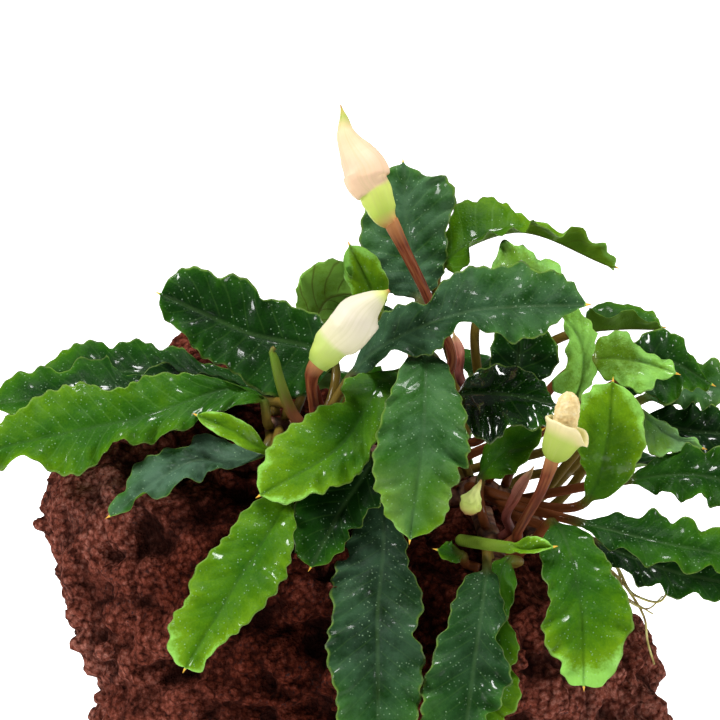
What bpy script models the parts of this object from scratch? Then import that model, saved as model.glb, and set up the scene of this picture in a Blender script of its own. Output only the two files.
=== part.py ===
"""A bucephalandra grown on a block of lava stone.

Metres, +Z up. The origin is the middle of the stone's flat base, and -Y is the side that
the plant faces. Every place on the plant is set out in millimetres as (across, up, forward)
in a frame that leans back by LEAN, so that "forward" points at someone who looks a little
down on the plant. The stone is set out straight in x, y and z.
"""
import math
from collections import namedtuple

import bmesh
import bpy
from mathutils import Matrix, Vector, noise
from mathutils.bvhtree import BVHTree

MM = 0.001
LEAN = math.radians(15)
SET_OUT_HEIGHT = 85.0      # the set-out frame's zero, above the stone's base
GAP = 0.35                 # air kept between neighbouring pieces

# Stone
STONE_MIDDLE = Vector((0.0, 0.0, 34.0))
STONE_CORNERS = [
    (-50, -22, 65), (-54, 8, 71), (-45, 36, 80), (-37, 36, 88), (-25, 37, 79),   # high end of the top
    (-8, -27, 60), (-8, 2, 68), (-4, 34, 70),                                    # middle of the top
    (30, -28, 43), (34, 4, 49), (34, 32, 46),                                    # low end of the top
    (54, -14, 34), (55, 16, 33), (62, -4, 20), (64, 0, 8), (60, -20, 10),
    (-65, -10, 62), (-66, 12, 58), (-64, -6, 46), (-60, -20, 34), (-60, 20, 30),
    (-12, -40, 30), (24, -38, 24), (-46, -33, 20), (16, 42, 30), (-34, 41, 40),
    (-49, -14, -8), (-40, 28, -8), (6, -35, -8), (10, 34, -8), (55, -14, -8), (50, 18, -8),
]
STONE_PROPORTIONS = (1.5, 1.0, 0.9)
LUMP_SIZE, LUMP_HEIGHT = 22.0, 6.0
LUMP_CREASE = 2.2          # how steeply a lump's side drops into the crease beside it
LUMP_LEVEL = 0.75          # the share of a lump's height that lies under the block's own skin
CLOD_ROWS = 9              # clods along each side of the cube that the block is shaped from
CLOD_DRIFT = 0.13          # how far a clod lies off its even place on that cube, which is 2 across
DRIFT_SHIFTS = [Vector((30, 0, 0)), Vector((0, 30, 0)), Vector((0, 0, 30))]
CLOD_TOP, CLOD_CREASE = 1.0, 1.6      # how far they stand over the lumps, and lie under them
BASE_FADE = 6.0            # lumps and clods die out this far above the flat base

# Creeping stems, set out in plan (x, y) on the stone from the old end to the growing tip
STEM_RADIUS = 2.3
STEM_GAP = 0.5             # air between a stem and the stone, which it crosses unevenly
STEM_PLANS = {
    "rhizome": [(-19, -5), (-10, -5), (0, -3), (10, 0), (20, 2), (31, 3), (42, 3)],
    "rhizome_front": [(24, -4.5), (26, -10), (27, -16), (26, -22)],
}
SHOOT_FORK = 33, 15        # where the upright shoot leaves the rhizome, and its turn towards the front
SHOOT_TIP = (19, -7, -9)
TURNS = {                  # the ways that 0 and 90 degrees around each stem face, in the set-out frame
    "rhizome": ((0, 1, 0), (0, 0, 1)),
    "rhizome_front": ((0, 1, 0), (1, 0, 0)),
    "shoot": ((0, 0, 1), (1, 0, 0)),
}

# Every leaf: the stem it grows from, where along it and around it, three places along the blade in
# the set-out frame, its width, and the way its upper side faces. A blade's point is 0.5 where its
# end is blunt and 1 where it narrows evenly.
Leaf = namedtuple(
    "Leaf", "name stem at around collar middle tip width face finish twist waves ruffle fold widest point",
    defaults=("green", 0, 5, 1.5, 0.15, 0.5, 0.6),
)
LEAVES = [
    # the big leaves that reach out to the left
    Leaf("leaf_left_low", "rhizome", 1.5, 75, (-19, -8.5, 6), (-46, -12, 13), (-76, -18.5, 14), 19.5,
         (0, 5, 8), waves=6, widest=0.62, point=0.75),
    Leaf("leaf_left_middle", "rhizome", 3.5, 35, (-19, -8, 0), (-47, -6, 1), (-74, -9, 2), 16, (0, 7, 6),
         "dark", waves=6),
    Leaf("leaf_left_back", "rhizome", 2.5, -15, (-17, -7.5, -7), (-43, -2.6, -12.5), (-66, -3, -14), 16,
         (0, 7, 6), "dark", waves=6),
    Leaf("leaf_left_high", "rhizome", 9, 10, (-5, -1, -1), (-23.5, 5.8, -4), (-40, 13.2, -4), 18.5,
         (1, 3, 9), "dark", ruffle=1.0, widest=0.55),
    Leaf("leaf_left_grey", "rhizome", 1, 110, (-19, -18, 9), (-34, -20.5, 17), (-49, -30.5, 21), 13,
         (0, 8, 6), "dark"),
    Leaf("leaf_left_young", "rhizome", 3, 100, (-18, -18, 13), (-25, -14, 16), (-32, -11, 15), 5,
         (2, 3, 9), "lime", waves=3, ruffle=0.1),
    Leaf("leaf_left_rolled", "rhizome", 6, 60, (-13.5, -10, 6), (-16, -4, 7), (-17.3, 2.2, 8), 2.4,
         (3, 0, 9), "lime", waves=3, ruffle=0.0, fold=0.5),
    # upright leaves at the back of the crown
    Leaf("leaf_back_curled", "rhizome", 12, -25, (-10.5, 4, -13), (-7, 12.4, -15.6), (2.4, 14, -12), 13,
         (-3, 6, -8), "lime", waves=4, widest=0.5),
    Leaf("leaf_back_small", "rhizome", 17, -10, (4, 9, -11), (1, 17, -10.5), (-2, 23, -10), 8, (0, 1, 9),
         waves=3, ruffle=0.3),
    Leaf("leaf_top", "shoot", 1, 210, (12, 12, -14), (9.6, 26, -18), (8.8, 40, -22), 19.5, (0, 2, 9),
         "dark", waves=6, widest=0.62, point=0.5),
    Leaf("leaf_top_right", "shoot", 1, 150, (16.5, 19, -17), (31, 26.5, -20.5), (51.8, 19, -22), 16,
         (0, 9, 1), waves=6, twist=-110),
    Leaf("leaf_right_back", "shoot", 4, 110, (24, 9, -9), (32, 17.5, -11), (42.5, 15, -9), 12, (0, 6, 7),
         waves=4),
    # the leaves in the middle, which hang towards the front
    Leaf("leaf_centre_wide", "rhizome", 15.5, 50, (-2, -3.5, 3.6), (18, 8.6, 13.5), (45, 11, 10), 17.5,
         (0, 6, 8), "dark", waves=6, ruffle=1.3),
    Leaf("leaf_centre_down", "shoot", 2, 0, (14, 1, 8), (12.4, -15, 22), (9.8, -35, 25), 18.5, (0, 2, 9),
         widest=0.55),
    Leaf("leaf_centre_left", "shoot", 3, -60, (8, -2.5, 1), (-5, -18, 17), (-19.5, -26.5, 22), 16,
         (-1, 4, 9), "lime", ruffle=0.9, widest=0.55),
    Leaf("leaf_low_left", "rhizome", 7, 105, (-13.5, -25, 16.5), (-25, -45, 27), (-34, -60, 30), 15,
         (-2, 3, 9), "lime", ruffle=1.0, widest=0.55),
    Leaf("leaf_low_centre", "rhizome", 13, 110, (2, -19, 10), (-4, -30, 18), (-9.6, -40.5, 23), 13.5,
         (1, 3, 9), "dark", waves=4, ruffle=1.1, point=0.8),
    Leaf("leaf_front_long", "rhizome", 18, 120, (3, -27, 10), (3.4, -52, 25), (3.6, -80, 31), 18.5,
         (0, 3, 9), "dark", waves=6),
    Leaf("leaf_glossy", "shoot", 7, 60, (19, -8, 2), (29, -7, 9), (39, -9, 11), 14, (0, 6, 8), "dark",
         waves=4),
    Leaf("leaf_shade", "shoot", 8, 100, (31, -5, -6), (32, 2, -7), (32, 8, -6), 11, (0, 1, 9), "dark",
         waves=3),
    # the front crown
    Leaf("leaf_front_right", "rhizome_front", 1, -10, (25, -41, 18), (22.5, -58, 28), (19.5, -80, 31),
         15.5, (-1, 3, 9), waves=6),
    Leaf("leaf_front_right_back", "rhizome_front", 4, 70, (29.5, -39.5, 12.5), (26.5, -57, 21.5),
         (21, -76, 24), 11, (1, 2, 9), "lime"),
    Leaf("leaf_right_down", "rhizome_front", 6.5, 60, (38, -32, 17), (43, -47, 28), (43.6, -63.4, 31), 17,
         (0, 3, 9), "lime", ruffle=1.2),
    Leaf("leaf_young_curl", "rhizome_front", 12, -50, (27, -36, 22), (33, -37.3, 25), (37.6, -36.6, 26),
         4.6, (0, 5, 7), "lime", waves=3, ruffle=0.0),
    Leaf("leaf_under", "rhizome_front", 14.5, -20, (24, -24, 2), (29, -18, 5), (36, -14, 5), 8,
         (-5, 4, 7), waves=3, ruffle=0.5),
    Leaf("leaf_hanging", "rhizome_front", 1, -75, (20, -38.5, 14), (17.8, -38, 16), (15.5, -37.5, 16), 5,
         (-2, 5, 7), waves=3, ruffle=0.4),
    # the right end
    Leaf("leaf_right_low", "rhizome", 52, 100, (43, -32, 12), (59, -36, 18), (78, -39.5, 17), 13,
         (0, 7, 7)),
    Leaf("leaf_right_lowest", "rhizome", 56, 110, (46, -36, 3), (60, -41.5, 6), (77, -45.5, 6), 11.5,
         (0, 6, 8), "dark"),
    Leaf("leaf_right_middle", "rhizome", 58, 80, (53, -24, 3), (67, -23, 6), (82, -27, 4), 13, (0, 6, 8),
         "dark"),
    Leaf("leaf_right_upright", "rhizome", 49, 80, (45, -28, 8), (49, -16, 13), (50, -4.5, 13), 14.5,
         (0, 1, 9), "lime", waves=4, ruffle=0.6, widest=0.55),
    Leaf("leaf_right_arching", "rhizome", 46, 40, (43, -8, 2), (44.2, 2.5, 5), (38.5, 11.5, 5), 7,
         (1, 4, 9), "lime", waves=4, ruffle=0.8),
    Leaf("leaf_right_spotted", "rhizome", 52, 50, (46.5, 0, -3), (55.5, -0.3, 2), (62.8, -2.6, 4), 12.5,
         (0, 5, 8), waves=4, ruffle=1.2, point=0.9),
    Leaf("leaf_right_dark", "rhizome", 56, 20, (53, -4, -8), (61.5, -0.4, -6), (70.4, -4.8, -4), 14,
         (1, 5, 8), "dark", ruffle=1.6, widest=0.4, point=1.0),
    Leaf("leaf_right_folded", "rhizome", 50, -10, (45, 6, -14), (53, 6.8, -15), (61, 6.6, -15), 9, (0, 9, 2),
         waves=4, fold=0.5),
    Leaf("leaf_right_far", "rhizome", 61, 30, (56, -12, -6), (67, -14.5, -5), (80, -15, -6), 12,
         (0, 6, 8), "dark"),
    Leaf("leaf_right_end", "rhizome", 64, 10, (57, -8, -13), (68, -5.5, -13), (80, -7.5, -13), 12.5,
         (0, 6, 8), "dark"),
    Leaf("leaf_right_ribbed", "rhizome", 60, 60, (56, -10.5, -1), (61.5, -15, 1), (68.2, -17.5, 1), 8.5,
         (0, 6, 8), waves=4, ruffle=0.8, point=0.9),
    # the leaves that hang behind
    Leaf("leaf_rear_left", "rhizome", 5, -60, (-11, -3, -15), (-22, 7, -36), (-33, -8, -57), 15,
         (0, 9, -1)),
    Leaf("leaf_rear_middle", "rhizome", 14, -60, (0, -8, -16), (-3, -3, -38), (-7, -26, -58), 15,
         (0, 9, -2)),
    Leaf("leaf_rear_high", "shoot", 3, 230, (10, 4, -20), (7, 10, -35), (1, 2, -54), 15, (0, 9, -1),
         "dark"),
    Leaf("leaf_rear_right", "shoot", 6, 150, (23, -4, -22), (28, 0, -40), (31, -12, -57), 15, (0, 9, -1)),
    Leaf("leaf_rear_low", "rhizome", 30, -60, (14, -14, -20), (16, -15, -41), (17, -42, -55), 14,
         (0, 8, -4), "dark"),
    Leaf("leaf_rear_far_right", "rhizome", 47, -60, (39, -18, -18), (46, -13, -36), (52, -25, -53), 15,
         (0, 9, -1)),
    Leaf("leaf_rear_end", "rhizome", 58, -50, (51, -22, -16), (64, -21, -27), (77, -31, -37), 14,
         (1, 8, -1), "dark"),
    # pointed sheaths around the growing tips
    Leaf("sheath_upright", "shoot", 0.5, 60, (20, -3, -9), (20, 0, -9), (19, 5, -10), 3.5, (0, 0, 1),
         "sheath", waves=3, ruffle=0.0, fold=0.5),
    Leaf("sheath_front", "rhizome_front", 12, 20, (29, -31, 8), (31, -27, 11), (34, -21.8, 12), 2.6,
         (-1, 0, 2), "sheath", waves=3, ruffle=0.0, fold=0.6),
]
BLADE_THICKNESS = 0.8
BLADE_NARROWEST = 0.8
PETIOLE_RADIUS = 0.8

# Flower stalks and closed spathes: places along each, with the radius read evenly along it
STALKS = [
    ("flower_tall_stalk", "shoot", 1.0, -60, [(18, -2, -6), (14.2, 11, -4), (9, 22, -4), (6.6, 27, -4)],
     [1.1, 1.0, 1.1, 1.6]),
    ("flower_low_stalk", "rhizome", 10, 62,
     [(-9.2, -9, 7), (-9.6, -4.5, 11), (-9.4, -2.6, 12.6), (-8.8, -1.4, 13.2)], [1.2, 1.1, 1.2, 1.7]),
    ("flower_open_stalk", "rhizome_front", 9.5, 35, [(31.4, -33.6, 12), (36, -25, 17), (37.6, -20.4, 18)],
     [1.2, 1.0, 1.1, 1.3]),
]
SPATHES = [
    ("flower_tall_spathe",
     [(6.4, 27.4, -4), (3.1, 33.8, -4.5), (1.1, 38, -5), (-2.9, 46, -6), (-4, 51.4, -6)],
     [1.7, 2.9, 3.2, 3.4, 4.7, 4.8, 4.0, 3.0, 1.9, 0.8, 0.15]),
    ("flower_low_spathe", [(-8.4, -0.9, 13.5), (-4.6, 3.8, 15), (0.4, 9.8, 16), (5.8, 13.8, 16)],
     [2.2, 3.3, 3.9, 4.1, 4.6, 4.5, 3.3, 2.0, 0.4]),
]
BUD = ("flower_bud", [(21.4, -30, 14), (22.2, -27, 15.4), (23.6, -24, 16.4)], [1.7, 2.1, 1.6, 0.9, 0.3])

# The open flower: a cup of one wall around a blunt spadix, set out along the line between two places
CUP_FOOT, CUP_MOUTH = (37.8, -19.8, 18), (40.9, -12.8, 19)
CUP_OUTSIDE = [(0, 1.3), (0.6, 2.0), (2.0, 2.9), (3.8, 3.3), (5.6, 3.6), (7.2, 4.1), (7.6, 4.2)]
CUP_WALL = 0.7
SPADIX_PLACES = [(38.6, -18.2, 18.2), (40.2, -13.2, 19), (41.3, -6.2, 19.6)]
SPADIX_RADII = [1.0, 1.7, 2.2, 2.5, 2.6, 2.4, 1.6]
TORN_FLAP = 2.2            # how far the torn part of the rim leans out

# Roots that hang off the low end of the stone: where each leaves the rhizome, and its places
ROOT_RADIUS = 0.45
ROOTS = [
    ("root_long", 66, 130, [(50, -42, -4), (54, -46.5, 0), (57, -52, 0), (57.5, -56, -1), (59, -61, -3)]),
    ("root_short", 68, 110, [(51, -41, -2), (55, -47, 3), (60, -48, 4), (61.5, -45, 3), (57, -44, 2)]),
]


def at(across, up, forward):
    """A place on the plant, from its set-out millimetres, in metres."""
    return MM * Vector((
        across,
        up * math.sin(LEAN) - forward * math.cos(LEAN),
        SET_OUT_HEIGHT + up * math.cos(LEAN) + forward * math.sin(LEAN),
    ))


def facing(across, up, forward):
    """A direction on the plant."""
    return (at(across, up, forward) - at(0, 0, 0)).normalized()


def material(name, colour, roughness):
    made = bpy.data.materials.new(name)
    made.use_nodes = True
    shader = made.node_tree.nodes["Principled BSDF"]
    shader.inputs["Base Color"].default_value = (*colour, 1)
    shader.inputs["Roughness"].default_value = roughness
    shader.inputs["Metallic"].default_value = 0.0
    return made


def node(name, data, finish, origin, plant):
    """Puts one piece on the plant under its own name and finish, with its origin where it is attached."""
    made = bpy.data.objects.new(name, data)
    data.materials.append(finish)
    made.location = origin
    made.parent = plant
    bpy.context.scene.collection.objects.link(made)
    return made


def mesh_of(name, bm, origin):
    bmesh.ops.translate(bm, vec=-origin, verts=bm.verts[:])
    bmesh.ops.recalc_face_normals(bm, faces=bm.faces[:])
    mesh = bpy.data.meshes.new(name)
    bm.to_mesh(mesh)
    bm.free()
    mesh.shade_smooth()
    mesh.set_sharp_from_angle(angle=math.radians(50))
    return mesh


class Route:
    """A smooth curve through a few points, read by the distance along their chords."""

    def __init__(self, points):
        self.points = points
        self.knots = [0.0]
        for before, after in zip(points, points[1:]):
            self.knots.append(self.knots[-1] + (after - before).length)
        self.length = self.knots[-1]
        self.slopes = [self.slope(i) for i in range(len(points))]

    def slope(self, i):
        chords = [
            (self.points[j + 1] - self.points[j]) / (self.knots[j + 1] - self.knots[j])
            for j in (i - 1, i) if 0 <= j < len(self.points) - 1
        ]
        if len(chords) == 1:
            return chords[0]
        before, after = self.knots[i] - self.knots[i - 1], self.knots[i + 1] - self.knots[i]
        return (chords[0] * after + chords[1] * before) / (before + after)

    def point(self, along):
        i = max(j for j in range(len(self.knots) - 1) if self.knots[j] <= along or j == 0)
        span = self.knots[i + 1] - self.knots[i]
        t = (along - self.knots[i]) / span
        return (
            self.points[i] * (2 * t**3 - 3 * t**2 + 1) + self.slopes[i] * span * (t**3 - 2 * t**2 + t)
            + self.points[i + 1] * (3 * t**2 - 2 * t**3) + self.slopes[i + 1] * span * (t**3 - t**2)
        )

    def direction(self, along):
        step = self.length * 0.002
        return (self.point(min(self.length, along + step)) - self.point(max(0, along - step))).normalized()


def lump_height(place):
    """How far the stone's broad lumps stand out at a place, with creases between them."""
    near, far = noise.voronoi(place / LUMP_SIZE)[0][:2]
    return LUMP_HEIGHT * (min(1.0, LUMP_CREASE * (far - near)) - LUMP_LEVEL)


def stone_surface(direction, block, is_top):
    """Where the stone's skin lies in one direction from its middle: the block, with lumps and clods."""
    reach = block.ray_cast(STONE_MIDDLE, direction)[3]
    place = STONE_MIDDLE + direction * reach
    fade = min(1.0, max(0.0, place.z / BASE_FADE))
    uneven = 1 + noise.noise(place / 7)
    clod = CLOD_TOP * uneven if is_top else -CLOD_CREASE * uneven
    return place + direction * (lump_height(place) + clod) * fade


def make_stone(plant, finish):
    """The lava block: a rounded cube pushed out to the hull of its corners, lumped, and cut flat below.
    Each clod is a fan of faces around its top, and the fans meet in creases."""
    hull = bmesh.new()
    for corner in STONE_CORNERS:
        hull.verts.new(corner)
    bmesh.ops.convex_hull(hull, input=hull.verts[:])
    block = BVHTree.FromBMesh(hull)
    hull.free()
    bm = bmesh.new()
    bmesh.ops.create_cube(bm, size=2)
    bmesh.ops.subdivide_edges(bm, edges=bm.edges[:], cuts=CLOD_ROWS - 1, use_grid_fill=True)
    bmesh.ops.triangulate(bm, faces=bm.faces[:])
    tops, between_tops = set(bm.verts), bm.edges[:]
    for top in tops:
        top.co += CLOD_DRIFT * Vector([noise.noise(top.co * 9 + shift) for shift in DRIFT_SHIFTS])
    bmesh.ops.poke(bm, faces=bm.faces[:])
    bmesh.ops.rotate_edges(bm, edges=between_tops)
    for vert in bm.verts:
        even = Vector([math.tan(c * math.pi / 4) * size for c, size in zip(vert.co, STONE_PROPORTIONS)])
        vert.co = stone_surface(even.normalized(), block, vert in tops)
    cut = bmesh.ops.bisect_plane(
        bm, geom=bm.verts[:] + bm.edges[:] + bm.faces[:], plane_co=(0, 0, 0), plane_no=(0, 0, 1),
        dist=0.01, clear_inner=True,
    )
    rim = [edge for edge in cut["geom_cut"] if isinstance(edge, bmesh.types.BMEdge)]
    bmesh.ops.holes_fill(bm, edges=rim, sides=0)
    bmesh.ops.transform(bm, matrix=Matrix.Scale(MM, 4), verts=bm.verts[:])
    return node("stone", mesh_of("stone", bm, Vector()), finish, (0, 0, 0), plant)


def resting_height(x, y, skin):
    """The height at which the stem's middle rests on the stone over (x, y), all in millimetres."""
    reach = STEM_RADIUS + STEM_GAP
    best = -math.inf
    for ring in range(8):
        away = 0.98 * reach * ring / 7
        for step in range(16):
            turn = step * math.tau / 16
            above = Vector((x + away * math.cos(turn), y + away * math.sin(turn), 200.0)) * MM
            hit = skin.ray_cast(above, Vector((0, 0, -1)))[0]
            if hit:
                best = max(best, hit.z / MM + math.sqrt(reach**2 - away**2))
    return best


def stem_routes(skin):
    """The creeping stems rest on the stone, and the upright shoot forks off the rhizome."""
    routes = {}
    for name, plan in STEM_PLANS.items():
        flat = Route([Vector((x, y, 0)) for x, y in plan])
        steps = round(flat.length / 3)
        places = [flat.point(flat.length * i / steps) for i in range(steps + 1)]
        routes[name] = Route([MM * Vector((p.x, p.y, resting_height(p.x, p.y, skin))) for p in places])
    fork, out = socket(routes, "rhizome", *SHOOT_FORK)
    routes["shoot"] = Route([fork, fork + out * 4 * MM, at(*SHOOT_TIP)])
    return routes


def socket(routes, stem, distance, around):
    """The place just clear of a stem's bark where something grows out of it, and the way it points.
    The distance is from the left tip of the rhizome, and from the growing tip of the others."""
    route = routes[stem]
    along = MM * distance if stem == "rhizome" else route.length - MM * distance
    zero, quarter = (facing(*way) for way in TURNS[stem])
    turn = math.radians(around)
    ahead = route.direction(along)
    out = zero * math.cos(turn) + quarter * math.sin(turn)
    out = (out - ahead * out.dot(ahead)).normalized()
    return route.point(along) + out * MM * (STEM_RADIUS + GAP), out


def tube(name, route, radii, finish, plant, sides=8, spacing=3.0):
    """A round piece along a route, its radius read evenly from the list."""
    curve = bpy.data.curves.new(name, "CURVE")
    curve.dimensions = "3D"
    curve.bevel_depth = MM
    curve.bevel_resolution = (sides - 4) // 2
    curve.use_fill_caps = True
    spline = curve.splines.new("POLY")
    count = max(3, len(radii), round(route.length / (spacing * MM)) + 1)
    spline.points.add(count - 1)
    for i, point in enumerate(spline.points):
        share = i / (count - 1)
        place = share * (len(radii) - 1)
        low = min(int(place), len(radii) - 2)
        point.co = (*(route.point(share * route.length) - route.points[0]), 1)
        point.radius = radii[low] + (radii[low + 1] - radii[low]) * (place - low)
    return node(name, curve, finish, route.points[0], plant)


def blade_half(share, leaf):
    """Half the blade's width, as a share of its greatest, from its collar (0) to its tip (1)."""
    if share < leaf.widest:
        return math.sin(math.pi / 2 * share / leaf.widest) ** 0.85
    past = min(1.0, (share - leaf.widest) / (1 - leaf.widest))
    return (1 - past**2.4) ** leaf.point


def leaf_frames(leaf, routes, stalk_rows, blade_rows):
    """Centre, heading, normal and share of the blade at each row, from the stem to the tip."""
    base, out = socket(routes, leaf.stem, leaf.at, leaf.around)
    route = Route([base, base + out * 2.5 * MM, at(*leaf.collar), at(*leaf.middle), at(*leaf.tip)])
    collar, middle, end = route.knots[2:]
    places = [collar * i / stalk_rows for i in range(stalk_rows)]
    places += [collar + (end - collar) * i / blade_rows for i in range(blade_rows + 1)]
    headings = [route.direction(place) for place in places]
    start = min(range(len(places)), key=lambda i: abs(places[i] - middle))
    normals = [facing(*leaf.face)] * len(places)
    for i in list(range(start, len(places))) + list(range(start - 1, -1, -1)):
        nearest = normals[i] if i == start else normals[i - 1 if i > start else i + 1]
        normals[i] = (nearest - headings[i] * nearest.dot(headings[i])).normalized()
    frames = []
    for place, heading, normal in zip(places, headings, normals):
        share = (place - collar) / (end - collar)
        turn = math.radians(leaf.twist) * max(-0.5, share - 0.5)
        frames.append((route.point(place), heading, Matrix.Rotation(turn, 3, heading) @ normal, share))
    return frames


def make_leaf(leaf, routes, finish, plant):
    """A stalk that widens into a ruffled blade with thin margins: one grid, given a back, and laid
    along the leaf's own line with two rows to each wave of its margin."""
    stalk_rows, blade_rows = 3, 2 * leaf.waves
    frames = leaf_frames(leaf, routes, stalk_rows, blade_rows)
    rows = stalk_rows + blade_rows
    bm = bmesh.new()
    bmesh.ops.create_grid(bm, x_segments=2, y_segments=rows, size=1)
    back = bmesh.ops.extrude_face_region(bm, geom=bm.faces[:])["geom"]
    back = {vert for vert in back if isinstance(vert, bmesh.types.BMVert)}
    for vert in bm.verts:
        row = round((vert.co.y + 1) / 2 * rows)
        centre, heading, normal, share = frames[row]
        aside = vert.co.x
        if share <= 0:
            half, lift, thick = PETIOLE_RADIUS, 0.0, 2 * PETIOLE_RADIUS
        else:
            half = max(BLADE_NARROWEST / 2, leaf.width / 2 * blade_half(share, leaf))
            wave = (-1) ** row * (1 if aside > 0 else -0.8) * min(1.0, 3 * share, 4 * (1 - share))
            lift = abs(aside) * (half * leaf.fold + wave * leaf.ruffle)
            thick = BLADE_THICKNESS
        if aside == 0:
            lift += -thick / 2 if vert in back else thick / 2
        vert.co = centre + MM * (heading.cross(normal) * aside * half + normal * lift)
    bmesh.ops.remove_doubles(bm, verts=bm.verts[:], dist=0.01 * MM)
    origin = frames[0][0].copy()
    return node(leaf.name, mesh_of(leaf.name, bm, origin), finish, origin, plant)


def make_open_spathe(finish, plant):
    """The cup of the open flower: its wall's section turned about the cup's axis, with a torn flap."""
    foot, mouth = at(*CUP_FOOT), at(*CUP_MOUTH)
    inside = [(up, radius - CUP_WALL) for up, radius in CUP_OUTSIDE[2:]]
    section = [(0, 0)] + CUP_OUTSIDE + inside[::-1] + [(CUP_WALL, 0)]
    bm = bmesh.new()
    verts = [bm.verts.new((radius, 0, up)) for up, radius in section]
    for before, after in zip(verts, verts[1:]):
        bm.edges.new((before, after))
    bmesh.ops.spin(
        bm, geom=bm.verts[:] + bm.edges[:], cent=(0, 0, 0), axis=(0, 0, 1), angle=math.tau, steps=12,
        use_merge=True,
    )
    bmesh.ops.remove_doubles(bm, verts=bm.verts[:], dist=0.01)
    for vert in bm.verts:
        bearing = math.atan2(vert.co.y, vert.co.x)
        lean = max(0.0, math.cos(bearing)) ** 4 * max(0.0, vert.co.z - 3) / 4.6 * TORN_FLAP
        vert.co.x += lean
        vert.co.z -= lean * 0.6
    turn = (mouth - foot).to_track_quat("Z", "Y").to_matrix().to_4x4()
    bmesh.ops.transform(bm, matrix=Matrix.Translation(foot) @ turn @ Matrix.Scale(MM, 4), verts=bm.verts[:])
    return node("flower_open_spathe", mesh_of("flower_open_spathe", bm, foot), finish, foot, plant)


def make_spadix(finish, plant):
    route = Route([at(*place) for place in SPADIX_PLACES])
    return tube("flower_open_spadix", route, SPADIX_RADII, finish, plant, sides=10)


def build():
    for old in list(bpy.data.objects):
        bpy.data.objects.remove(old)
    plant = bpy.data.objects.new("plant", None)
    bpy.context.scene.collection.objects.link(plant)
    finishes = {
        "dark": material("leaf_dark", (0.012, 0.07, 0.03), 0.3),
        "green": material("leaf_green", (0.03, 0.15, 0.025), 0.3),
        "lime": material("leaf_lime", (0.13, 0.33, 0.02), 0.35),
        "sheath": material("sheath", (0.25, 0.09, 0.06), 0.5),
    }
    bark = material("stem_bark", (0.16, 0.07, 0.035), 0.7)
    stalk = material("flower_stalk", (0.3, 0.07, 0.035), 0.5)
    cream = material("spathe_cream", (0.85, 0.72, 0.5), 0.5)
    pale_green = material("spathe_green", (0.5, 0.6, 0.15), 0.45)

    stone = make_stone(plant, material("lava", (0.16, 0.055, 0.04), 0.95))
    skin = BVHTree.FromObject(stone, bpy.context.evaluated_depsgraph_get())
    routes = stem_routes(skin)
    for name, route in routes.items():
        tube(name, route, [STEM_RADIUS] * 2, bark, plant)
    for leaf in LEAVES:
        make_leaf(leaf, routes, finishes[leaf.finish], plant)
    for name, stem, distance, around, places, radii in STALKS:
        base, out = socket(routes, stem, distance, around)
        route = Route([base, base + out * 2.5 * MM] + [at(*place) for place in places])
        tube(name, route, radii, stalk, plant)
    for name, places, radii in SPATHES:
        tube(name, Route([at(*place) for place in places]), radii, cream, plant, sides=12)
    make_open_spathe(pale_green, plant)
    make_spadix(material("spadix_cream", (0.9, 0.7, 0.35), 0.7), plant)
    name, places, radii = BUD
    tube(name, Route([at(*place) for place in places]), radii, pale_green, plant)
    root = material("root", (0.3, 0.22, 0.08), 0.6)
    for name, distance, around, places in ROOTS:
        base, out = socket(routes, "rhizome", distance, around)
        tube(name, Route([base, base + out * 2 * MM] + [at(*place) for place in places]),
             [ROOT_RADIUS] * 2, root, plant, sides=6)


build()
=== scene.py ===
import math
from collections import namedtuple

import bmesh
import bpy
from mathutils import Matrix, Vector, noise
from mathutils.bvhtree import BVHTree


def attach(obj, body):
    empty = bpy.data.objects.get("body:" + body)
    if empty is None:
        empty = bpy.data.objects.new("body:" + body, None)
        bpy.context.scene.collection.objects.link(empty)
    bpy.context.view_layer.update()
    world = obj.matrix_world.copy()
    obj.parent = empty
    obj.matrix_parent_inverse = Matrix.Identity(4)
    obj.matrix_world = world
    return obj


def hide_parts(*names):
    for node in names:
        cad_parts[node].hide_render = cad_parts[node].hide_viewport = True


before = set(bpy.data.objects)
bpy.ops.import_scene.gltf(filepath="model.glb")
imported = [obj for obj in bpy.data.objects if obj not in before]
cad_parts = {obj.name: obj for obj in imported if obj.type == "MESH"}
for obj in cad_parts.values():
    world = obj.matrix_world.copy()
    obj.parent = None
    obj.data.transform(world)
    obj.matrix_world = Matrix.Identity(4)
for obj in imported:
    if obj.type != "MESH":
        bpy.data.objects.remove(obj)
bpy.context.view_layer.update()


# The lava stone
# A block of red-brown lava that foamed as it set: rounded clods with deep creases between them, and a
# sponge of small broken bubbles all over its skin. Its finish paints shade dark in the creases and pits. It
# is left as it was broken, and stands on the one face that is flat.
MM = 0.001
STONE_VOXEL = 0.75
CLOD_ROUNDING = 4     # rounds of smoothing that take the edges off the clods
CLOD_EVENING = 45    # rounds of smoothing that level the clods, to find the creases
CREASE_DEPTH = 0.9
CREASE_START = 1.0         # how far below the levelled skin a place counts as a full crease
PLAIN_FOOT = 0.4           # the skin is plain up to this height
FOOT_FADE = 2.5            # and at its full roughness this much higher
LUMPS = [                  # spacing and height of the lumps, and where their pattern starts
    (7.5, 2.5, Vector((3, 1, 2))), (3.6, 0.75, Vector((1, 7, 4))), (1.8, 0.45, Vector((6, 2, 8))),
]
WARPS = [(5.0, 2.6), (1.8, 0.9)]           # size and reach of the drifts that make the lumps uneven
ROUGH_SIZE, ROUGH_HEIGHT = 1.6, 0.25
DRIFT_SHIFTS = [Vector((30, 0, 0)), Vector((0, 30, 0)), Vector((0, 0, 30))]


def merged_copy(name):
    """A CAD node's mesh, with its loose triangles joined."""
    bm = bmesh.new()
    bm.from_mesh(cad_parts[name].data)
    bmesh.ops.remove_doubles(bm, verts=bm.verts[:], dist=0.001 * MM)
    return bm


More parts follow.
